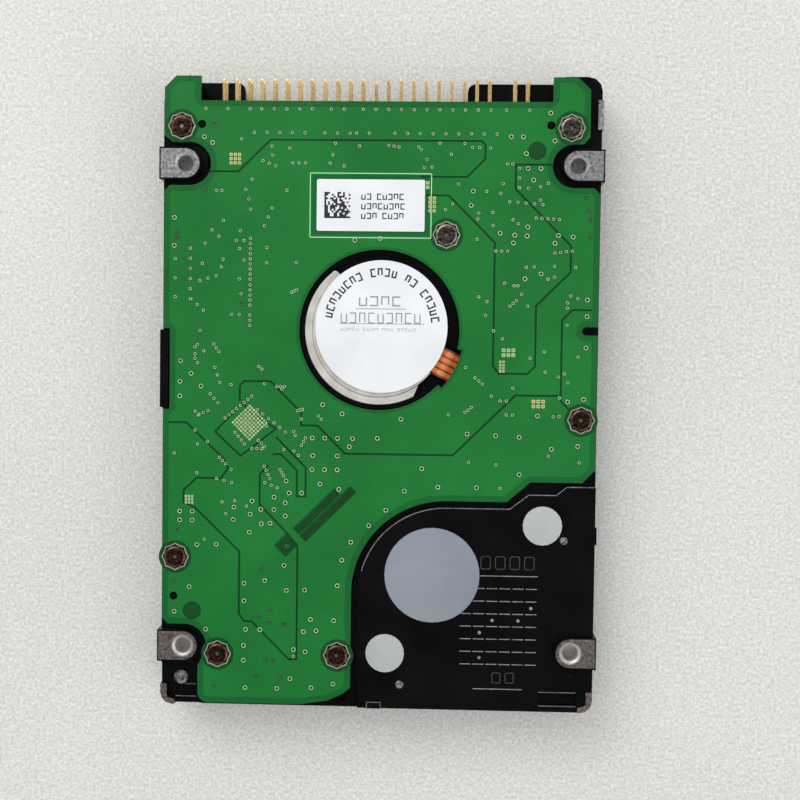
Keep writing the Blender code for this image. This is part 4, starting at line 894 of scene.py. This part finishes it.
def pad_fields(looks):
    """Small fields of square test pads, and the larger diamond field under the controller."""
    mesh = bmesh.new()
    for centre, columns, rows, pitch, index in PAD_FIELDS:
        half = pitch * 0.38
        for i in range(columns):
            for k in range(rows):
                x = centre[0] + (i - (columns - 1) / 2) * pitch
                y = centre[1] + (k - (rows - 1) / 2) * pitch
                pad = rectangle((x - half, y - half), (x + half, y + half), half * 0.5)
                add_prism(mesh, pad, BOARD_TOP - 0.01, BOARD_TOP + 0.02, index, 0.02)
                # A dark dot of painted shade stands in for a small hole in the pad.
                add_prism(mesh, circle((x, y), half * 0.35, 8), BOARD_TOP, BOARD_TOP + 0.024, 2)
    piece("board_test_pads", mesh, [looks["pad"], looks["orange_pad"], looks["via_hole"]])
    mesh = bmesh.new()
    middle, size, count = (-20.4, -4.7), 0.47, 9
    for i in range(count):
        for k in range(count):
            at = turned([((i - count / 2 + 0.5) * size, (k - count / 2 + 0.5) * size)], 45, middle)[0]
            add_prism(mesh, circle(at, 0.19, 10), BOARD_TOP - 0.01, BOARD_TOP + 0.02, 0, 0.02)
            if (i + k) % 2:
                # A dark dot of painted shade stands in for a small hole in the pad.
                add_prism(mesh, circle(at, 0.07, 8), BOARD_TOP, BOARD_TOP + 0.024, 1)
    piece("board_diamond_pads", mesh, [looks["pad"], looks["via_hole"]])


def silkscreen(looks):
    """The pale frame round the label, a generic hatched mark, and the darker round targets."""
    low, high = SILK_FRAME
    path = [low, (high[0], low[1]), high, (low[0], high[1]), low]
    mesh = bmesh.new()
    for start, end in zip(path, path[1:]):
        add_band(mesh, [start, end], 0.14, BOARD_TOP - 0.03, BOARD_TOP + 0.01)
    piece("silkscreen_frame", mesh, [looks["silk"]])
    mesh = bmesh.new()
    flat, over = BOARD_TOP + 0.006, BOARD_TOP + 0.012
    for start, length in (((-12.75, -21.85), 9.1), ((-11.68, -22.95), 11.2)):
        field = turned([(-0.2, -0.73), (length, -0.73), (length, 0.73), (-0.2, 0.73)], 45, start)
        add_prism(mesh, field, BOARD_TOP - 0.01, flat, 0)
        for i in range(int(length / 0.5)):
            along = i * 0.5 + 0.1
            stroke = [(along, -0.45), (along + 0.24, -0.45), (along + 0.24, 0.45), (along, 0.45)]
            add_prism(mesh, turned(stroke, 45, start), BOARD_TOP - 0.01, over, 1)
    field = turned([(-1.45, -1.35), (1.45, -1.35), (1.45, 1.35), (-1.45, 1.35)], 45, (-14.4, -24.1))
    add_prism(mesh, field, BOARD_TOP - 0.01, flat, 0)
    for radius in (1.1, 0.55):
        ring = [(radius, BOARD_TOP), (radius - 0.03, over), (radius - 0.2, over), (radius - 0.23, BOARD_TOP)]
        add_lathe(mesh, ring, 24, (-14.4, -24.1), 1, closed=False)
    for at, radius in (((24.4, 38.45), 1.4), ((-29.45, -34.9), 1.45)):
        add_prism(mesh, circle(at, radius, 36), BOARD_TOP - 0.01, flat, 0)
        ring = [(radius, BOARD_TOP), (radius - 0.03, over), (radius - 0.14, over), (radius - 0.17, BOARD_TOP)]
        add_lathe(mesh, ring, 36, at, 1, closed=False)
    piece("board_dark_marks", mesh, [looks["mark"], looks["trace"]])


def scallop(inset):
    """The edge of a screw pad, at an angle: eight bays between eight cusps."""
    return lambda angle: 2.2 - 0.24 * abs(math.sin(4 * angle)) - inset


def screw_pads(looks):
    """A scalloped tinned rim round each board screw, a painted shadow of dark metal inside it and a darker
    halo outside.
    """
    mesh = bmesh.new()
    for at in BOARD_SCREWS:
        halo = [(2.62, BOARD_TOP), (2.58, BOARD_TOP + 0.006), (2.2, BOARD_TOP + 0.006), (2.1, BOARD_TOP)]
        add_lathe(mesh, halo, 48, at, 2, closed=False)
        ring = [(scallop(0.0), BOARD_TOP - 0.01), (scallop(0.02), BOARD_TOP + 0.03)]
        ring += [(scallop(0.14), BOARD_TOP + 0.03), (scallop(0.18), BOARD_TOP + 0.01)]
        add_lathe(mesh, ring, 96, at, 0, closed=False)
        # Painted shadow: dark metal between the tinned rim and the head, standing in for the head's shade.
        shade = [(scallop(0.17), BOARD_TOP + 0.012), (1.5, BOARD_TOP + 0.012), (1.0, BOARD_TOP - 0.02)]
        add_lathe(mesh, shade, 96, at, 1, closed=False)
    piece("screw_pads", mesh, [looks["tin"], looks["pad_shade"], looks["mark"]])


# --- Screws -----------------------------------------------------------------------------------------


def lobed(radius):
    """The radius of a six-lobed socket at an angle."""
    return lambda angle: radius * (0.84 + 0.16 * math.cos(6 * angle))


def screw(name, node, head_radius, socket_radius, look, upwards=True):
    """A pan-head screw with a six-lobed socket, on its CAD screw's axis and between its heights."""
    low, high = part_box(node)
    centre = (low + high) / 2
    head = (high.z if upwards else low.z) / MM
    tip = (low.z if upwards else high.z) / MM
    up = 1.0 if upwards else -1.0
    under = head - up * 0.4
    profile = [(0.3, tip), (0.75, tip + up * 0.2), (0.75, under), (head_radius - 0.08, under)]
    profile += [(head_radius, under + up * 0.08), (head_radius, under + up * 0.16)]
    profile += [(head_radius * 0.93, head - up * 0.1), (head_radius * 0.8, head - up * 0.02)]
    profile += [(head_radius * 0.66, head)]
    profile += [(lobed(socket_radius * 1.1), head), (lobed(socket_radius), head - up * 0.06)]
    profile += [(lobed(socket_radius * 0.96), head - up * 0.3), (0.1, head - up * 0.36)]
    mesh = bmesh.new()
    add_lathe(mesh, profile, 48)
    bmesh.ops.recalc_face_normals(mesh, faces=mesh.faces)
    piece(name, mesh, [look], (node,), sharp_deg=40, place=(centre.x, centre.y, 0.0))


def screws(looks):
    """The seven board screws and, from below, the six cover screws."""
    for i in range(len(BOARD_SCREWS)):
        look = looks["screw_grey" if i in LIGHT_SCREWS else "screw_dark"]
        screw(f"board_screw_{i + 1}_detailed", f"board_screw_{i + 1}", 1.7, 0.75, look)
    for i in range(len(COVER_SCREWS)):
        screw(f"cover_screw_{i + 1}_detailed", f"cover_screw_{i + 1}", 1.9, 0.8, looks["cover_screw"], False)


# --- Connector --------------------------------------------------------------------------------------


def pin_row(name, node, missing, looks):
    """Square gold pins with pyramid tips, and the strip that joins them inside the housing."""
    low, high = (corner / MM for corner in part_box(node))
    z = (low.z + high.z) / 2
    left = CONNECTOR_X - PITCH * (PLACES - 1) / 2
    mesh = bmesh.new()
    back, tip, half = low.y, high.y, PIN / 2
    for i in range(PLACES):
        if i in (EMPTY_PLACE, missing):
            continue
        x = left + PITCH * i
        loops = []
        for y, reach in ((back + 0.2, half), (tip - 0.5, half), (tip - 0.14, half * 0.84), (tip, half * 0.6)):
            cut = reach * 0.28
            section = [(-reach + cut, -reach), (reach - cut, -reach)]
            section += [(reach, -reach + cut), (reach, reach - cut)]
            section += [(-a, -b) for a, b in section]
            loops.append([(x + a, y, z + b) for a, b in section])
        add_loops(mesh, loops)
    strip = rectangle((low.x, back), (high.x, back + 0.38))
    add_prism(mesh, strip, z - half, z + half)
    bmesh.ops.recalc_face_normals(mesh, faces=mesh.faces)
    piece(name, mesh, [looks["gold"]], (node,))


# --- Motor ------------------------------------------------------------------------------------------


def motor_base(looks):
    """The motor's turned base, and the half ring that holds it in the casting's seat."""
    disc_top, disc_r, seat = top_of("motor_base"), 10.55, 7.25
    mesh = bmesh.new()
    profile = [(3.0, 4.6), (3.6, 4.6), (3.6, 5.9), (8.1, 6.4), (8.1, seat), (disc_r - 0.05, seat)]
    profile += [(disc_r, seat + 0.05), (disc_r, disc_top - 0.15), (disc_r - 0.05, disc_top - 0.05)]
    profile += [(disc_r - 0.18, disc_top), (2.9, disc_top), (2.85, disc_top - 0.1), (2.85, 8.1), (0.2, 8.1)]
    profile += [(0.2, 8.05), (2.85, 8.05), (2.85, 4.7)]
    add_lathe(mesh, profile + [profile[0]], 128, SPINDLE, closed=False)
    bmesh.ops.remove_doubles(mesh, verts=mesh.verts, dist=1e-7)
    bmesh.ops.recalc_face_normals(mesh, faces=mesh.faces)
    piece("motor_base_turned", mesh, [looks["motor"]], ("motor_base",))
    outer = arc(SPINDLE, 11.8, RING_START_DEG + 4.0, RING_END_DEG - 9.0, 60)
    outer = arc(SPINDLE, 11.55, RING_START_DEG + 2.4, RING_START_DEG + 2.4, 1)[:1] + outer
    inner = arc(SPINDLE, disc_r + 0.02, RING_END_DEG - 0.5, RING_START_DEG + 1.5, 60)
    ring = plate([outer + inner], seat, 8.3, 0.12)
    piece("motor_half_ring", ring, [looks["motor"]])


def glyph_block(mesh, centre, width, height, low, high, index, turn_deg=0.0):
    """One plain block that stands where a printed character would be."""
    half_w, half_h = width / 2, height / 2
    outline = [(-half_w, -half_h), (half_w, -half_h), (half_w, half_h), (-half_w, half_h)]
    add_prism(mesh, turned(outline, turn_deg, centre), low, high, index)


def open_box(mesh, centre, width, height, low, high, index, missing, turn_deg=0.0, stroke=0.18):
    """A rectangle of thin strokes with one side missing, which stands in for a character."""
    half_w, half_h, thin = width / 2, height / 2, stroke * min(width, height)
    sides = [
        (0.0, half_h - thin / 2, width, thin),
        (half_w - thin / 2, 0.0, thin, height - 2 * thin),
        (0.0, thin / 2 - half_h, width, thin),
        (thin / 2 - half_w, 0.0, thin, height - 2 * thin),
    ]
    for i, (x, y, wide, tall) in enumerate(sides):
        if i != missing:
            at = turned([(x, y)], turn_deg, centre)[0]
            glyph_block(mesh, at, wide, tall, low, high, index, turn_deg)


def block_row(mesh, start, pattern, width, height, pitch, low, high, index, stroke=0.18):
    """A row of open boxes. pattern holds the groups' lengths, with a wider gap after each."""
    x = start[0]
    for k, group in enumerate(pattern):
        for i in range(group):
            open_box(mesh, (x, start[1]), width, height, low, high, index, (i * 3 + k) % 4, 0.0, stroke)
            x += pitch
        x += pitch * 0.8


def code_square(mesh, corner, side, cells, low, high, index, rng):
    """A square field of random cells, with two solid sides. It holds no data."""
    step = side / cells
    for i in range(cells):
        for k in range(cells):
            if i == 0 or k == 0 or rng.random() < 0.5:
                at = (corner[0] + step * (i + 0.5), corner[1] + step * (k + 0.5))
                glyph_block(mesh, at, step, step, low, high, index)


def motor_label(looks):
    """A round white label with a generic arc of blocks and three plain rows."""
    low, high = foot_of("motor_label"), top_of("motor_label")
    disc = plate([circle(LABEL_CENTRE, LABEL_R, 128)], low, high - 0.01, 0.02)
    piece("motor_label_film", disc, [looks["paper"]], ("motor_label",))
    mesh = bmesh.new()
    print_low, print_high = high - 0.02, high
    count, reach = 21, 8.55
    gaps = {8, 13, 16}
    for k in range(count + 1):
        if k in gaps:
            continue
        angle = 168.0 - 160.0 * k / count
        at = arc(LABEL_CENTRE, reach, angle, angle, 1)[0]
        open_box(mesh, at, 0.8, 1.35, print_low, print_high, 0, k % 4, angle - 90, 0.3)
    block_row(mesh, (-2.6, 14.75), [4], 1.3, 1.6, 1.75, print_low, print_high, 1)
    add_band(mesh, [(-3.7, 13.55), (4.2, 13.55)], 0.12, print_low, print_high, 1)
    block_row(mesh, (-5.6, 12.1), [9], 1.0, 1.7, 1.45, print_low, print_high, 1)
    add_band(mesh, [(-6.3, 11.2), (7.1, 11.2)], 0.1, print_low, print_high, 1)
    block_row(mesh, (-5.9, 10.3), [5, 4, 3, 5], 0.42, 0.45, 0.62, print_low, print_high, 1)
    piece("motor_label_print", mesh, [looks["ink"], looks["grey_ink"]])


def motor_flex(looks):
    """An orange film bent down from the motor to the board's inner face, with four copper bars."""
    path = [(8.0, 8.64), (10.3, 8.64), (10.9, 8.58), (11.4, 8.4)]
    path += [(11.9, 8.1), (12.4, 7.86), (13.1, 7.72), (17.6, 7.7)]
    mesh = bmesh.new()
    bars = [(-2.3, 2.3, 0.0, 0.07, 0)]
    bars += [(-1.95 + 1.05 * i, -1.2 + 1.05 * i, 0.07, 0.12, 1) for i in range(4)]
    for left, right, under, over, index in bars:
        loops = []
        for reach, height in path:
            corners = turned([(reach, left), (reach, right)], FLEX_DEG, SPINDLE)
            (x0, y0), (x1, y1) = corners
            loops.append([(x0, y0, height + under), (x1, y1, height + under),
                          (x1, y1, height + over), (x0, y0, height + over)])
        add_loops(mesh, loops, index=index)
    bmesh.ops.recalc_face_normals(mesh, faces=mesh.faces)
    piece("motor_flex_film", mesh, [looks["polyimide"], looks["flex_copper"]], ("motor_flex",))


# --- Labels and cast marks --------------------------------------------------------------------------


def board_label(looks):
    """A white label with a random square code and three plain rows of blocks."""
    low, high = (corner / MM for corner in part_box("board_label"))
    film = plate([rectangle((low.x, low.y), (high.x, high.y), 0.3)], low.z, high.z - 0.01, 0.02)
    piece("board_label_film", film, [looks["paper"]], ("board_label",))
    mesh = bmesh.new()
    print_low, print_high = high.z - 0.02, high.z
    code_square(mesh, (low.x + 1.2, low.y + 2.0), 4.1, 14, print_low, print_high, 0, random.Random(4))
    rows = ((31.1, [2, 5]), (29.6, [8]), (28.1, [3, 4]))
    for y, pattern in rows:
        block_row(mesh, (-2.7, y), pattern, 0.68, 0.98, 0.88, print_low, print_high, 0, 0.26)
    piece("board_label_print", mesh, [looks["ink"]])


def cover_label(looks):
    """The large label on the cover's outer face, printed with a plain frame, bars and a random code."""
    low, high = (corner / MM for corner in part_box("cover_label"))
    corners = [(-27.0, -12.0), (27.0, -12.0), (27.0, 28.0), (17.0, 38.5), (-17.0, 38.5), (-27.0, 28.0)]
    outline = rounded([(x, y, 2.0) for x, y in corners])
    film = plate([outline], low.z, high.z, 0.02)
    piece("cover_label_film", film, [looks["paper"]], ("cover_label",))
    mesh = bmesh.new()
    under, over = low.z - 0.02, low.z + 0.01
    path = [(-25, -10.2), (25, -10.2), (25, 27.3), (16, 36.8), (-16, 36.8), (-25, 27.3), (-25, -10.2)]
    for start, end in zip(path, path[1:]):
        add_band(mesh, [start, end], 0.3, under, over, 1)
    rng = random.Random(9)
    x = -20.0
    while x < 4.0:
        width = rng.choice((0.25, 0.4, 0.65))
        glyph_block(mesh, (x, 1.0), width, 5.0, under, over, 0)
        x += width + rng.choice((0.3, 0.5))
    code_square(mesh, (12.0, -3.0), 8.0, 16, under, over, 0, rng)
    for i in range(5):
        pattern = [rng.randint(3, 9) for _ in range(4)]
        block_row(mesh, (-20.0, 12.0 + 2.6 * i), pattern, 0.6, 1.0, 1.0, under, over, 0)
    add_prism(mesh, rectangle((-21.0, 25.5), (21.0, 29.5), 0.6), under, over, 1)
    bmesh.ops.recalc_face_normals(mesh, faces=mesh.faces)
    piece("cover_label_print", mesh, [looks["ink"], looks["grey_ink"]])


def cast_marks(looks):
    """Raised dashes of a blank date grid on the actuator bay, with lines above and below it."""
    mesh = bmesh.new()
    # The raised marks are painted grey as a highlight.
    low, high, width = PLATEAU - 0.03, PLATEAU + 0.05, 0.14
    add_band(mesh, [(16.5, -28.5), (25.6, -28.5)], width, low, high)
    seal_clear = 7.6
    for row in range(1, 8):
        y = -28.5 - 2.02 * row
        covered = PIVOT[0] + math.sqrt(max(0.0, seal_clear ** 2 - (y - PIVOT[1]) ** 2))
        for column in range(6):
            x = 13.4 + 2.07 * column
            start = max(x, covered)
            if x + 1.75 - start > 0.3:
                add_band(mesh, [(start, y), (x + 1.75, y)], width, low, high)
    add_band(mesh, [(15.6, -46.6), (23.4, -46.6)], width, low, high)
    frames = [((16.6 + 2.3 * i, -27.4), (18.1 + 2.3 * i, -25.4)) for i in range(4)]
    frames += [((18.6 + 2.1 * i, -45.6), (19.9 + 2.1 * i, -44.0)) for i in range(2)]
    for corner, opposite in frames:
        outline = rectangle(corner, opposite, 0.3)
        add_band(mesh, outline + outline[:1], 0.16, low, high, 1)
    for at in ((24.6, -33.6), (18.5, -35.6), (22.6, -35.6), (16.5, -37.6), (16.5, -41.6)):
        add_lathe(mesh, [(0.28, low), (0.26, high), (0.1, high + 0.05)], 12, at)
    piece("cast_date_grid", mesh, [looks["cast_mark"], looks["cast_mark_dim"]])


# Painted highlight lines on the edges of the small steps at the far end: two ends and a height.
STEP_LINES = [
    ((-30.8, -47.1), (-29.0, -47.1), 7.75),
    ((-32.3, -49.1), (-28.9, -49.1), 7.75),
    ((26.0, -46.95), (31.9, -46.95), 8.75),
    ((26.0, -49.15), (32.0, -49.15), 8.75),
    ((-1.4, -49.1), (1.0, -49.1), 9.0),
    ((-1.3, -49.1), (-1.3, -50.0), 9.0),
    ((0.9, -49.1), (0.9, -50.0), 9.0),
]


def bay_edge(looks):
    """The rounded lip where the bay's plateau drops to the board's recess, painted grey as a highlight line,
    with the same painted highlight on the far end's step lines.
    """
    lip_r, drop = BAY_R - 1.15, 0.09
    path = arc(BAY_CENTRE, lip_r, 165, 90, 40) + [(21.0, -17.85), (24.0, -15.55)]
    path += [(28.3, -15.55), (30.0, -14.2), (34.3, -14.2)]
    mesh = bmesh.new()
    loops = []
    for i, point in enumerate(path):
        here = Vector(point)
        ahead = Vector(path[min(i + 1, len(path) - 1)]) - Vector(path[max(i - 1, 0)])
        side = Vector((-ahead.y, ahead.x)).normalized()
        loop = []
        for k in range(10):
            angle = math.tau * k / 10
            spot = here + side * (drop * math.cos(angle))
            loop.append((spot.x, spot.y, PLATEAU - 0.03 + drop * math.sin(angle)))
        loops.append(loop)
    add_loops(mesh, loops)
    bmesh.ops.recalc_face_normals(mesh, faces=mesh.faces)
    for (x0, y0), (x1, y1), top in STEP_LINES:
        add_band(mesh, [(x0, y0), (x1, y1)], 0.14, top - 0.05, top + 0.03)
    piece("bay_edge_lip", mesh, [looks["lip"]], sharp_deg=80)


# --- Stage ------------------------------------------------------------------------------------------


FLOOR_Z = -0.02 * MM  # just clear of the cover's face


def floor():
    """The pale surface that the drive lies on."""
    mesh = bmesh.new()
    bmesh.ops.create_grid(mesh, x_segments=8, y_segments=8, size=1.2)
    data = bpy.data.meshes.new("floor")
    mesh.to_mesh(data)
    mesh.free()
    data.materials.append(floor_look())
    thing = bpy.data.objects.new("floor", data)
    thing.location.z = FLOOR_Z
    bpy.context.scene.collection.objects.link(thing)


def area_light(name, place, size, power, colour):
    """A rectangular light aimed at the drive."""
    data = bpy.data.lights.new(name, "AREA")
    data.shape = "RECTANGLE"
    data.size, data.size_y = size
    data.energy = power
    data.color = colour
    thing = bpy.data.objects.new(name, data)
    thing.location = place
    thing.rotation_euler = (-Vector(place)).to_track_quat("-Z", "Y").to_euler()
    bpy.context.scene.collection.objects.link(thing)
    return thing


def lights():
    """A ceiling that the black coat doesn't mirror, a window behind, a fill in front, and a pale room."""
    above = area_light("ceiling", (0.0, 0.1, 1.0), (1.2, 1.2), 7.0, (1.0, 0.995, 0.985))
    above.visible_glossy = False
    area_light("window", (-0.45, 0.75, 0.7), (0.9, 0.5), 7.2, (1.0, 0.99, 0.97))
    area_light("fill", (0.8, -0.35, 0.65), (0.8, 0.6), 3.1, (0.95, 0.98, 1.0))
    world = bpy.data.worlds.new("room")
    world.use_nodes = True
    tree = world.node_tree
    background = tree.nodes["Background"]
    background.inputs["Color"].default_value = (0.95, 0.97, 1.0, 1.0)
    direction = tree.nodes.new("ShaderNodeTexCoord")
    parts = tree.nodes.new("ShaderNodeSeparateXYZ")
    tree.links.new(direction.outputs["Generated"], parts.inputs[0])
    ceiling = tree.nodes.new("ShaderNodeMapRange")
    ceiling.interpolation_type = "SMOOTHSTEP"
    for name, number in (("From Min", 0.45), ("From Max", 0.86), ("To Min", 0.8), ("To Max", 0.05)):
        ceiling.inputs[name].default_value = number
    tree.links.new(parts.outputs["Z"], ceiling.inputs["Value"])
    tree.links.new(ceiling.outputs["Result"], background.inputs["Strength"])
    bpy.context.scene.world = world


def camera():
    """The camera above the board, tilted by a few degrees."""
    data = bpy.data.cameras.new("camera")
    data.lens = 54.1
    data.sensor_width = 36.0
    data.clip_start = 0.01
    thing = bpy.data.objects.new("camera", data)
    thing.location = (0.0100, 0.0065, 0.1986)
    thing.rotation_euler = [math.radians(a) for a in (-2.17, 2.01, 0.73)]
    bpy.context.scene.collection.objects.link(thing)
    bpy.context.scene.camera = thing


def main():
    bpy.context.scene.view_settings.view_transform = "Standard"
    looks = make_looks()
    camera()
    lights()
    floor()
    dress_cad_nodes(looks)
    circuit_board(looks)
    traces(looks)
    vias(looks)
    pad_fields(looks)
    silkscreen(looks)
    screw_pads(looks)
    screws(looks)
    pin_row("pins_even", "pin_row_even", KEY_PLACE, looks)
    pin_row("pins_odd", "pin_row_odd", None, looks)
    motor_base(looks)
    motor_label(looks)
    motor_flex(looks)
    board_label(looks)
    cover_label(looks)
    cast_marks(looks)
    bay_edge(looks)


main()
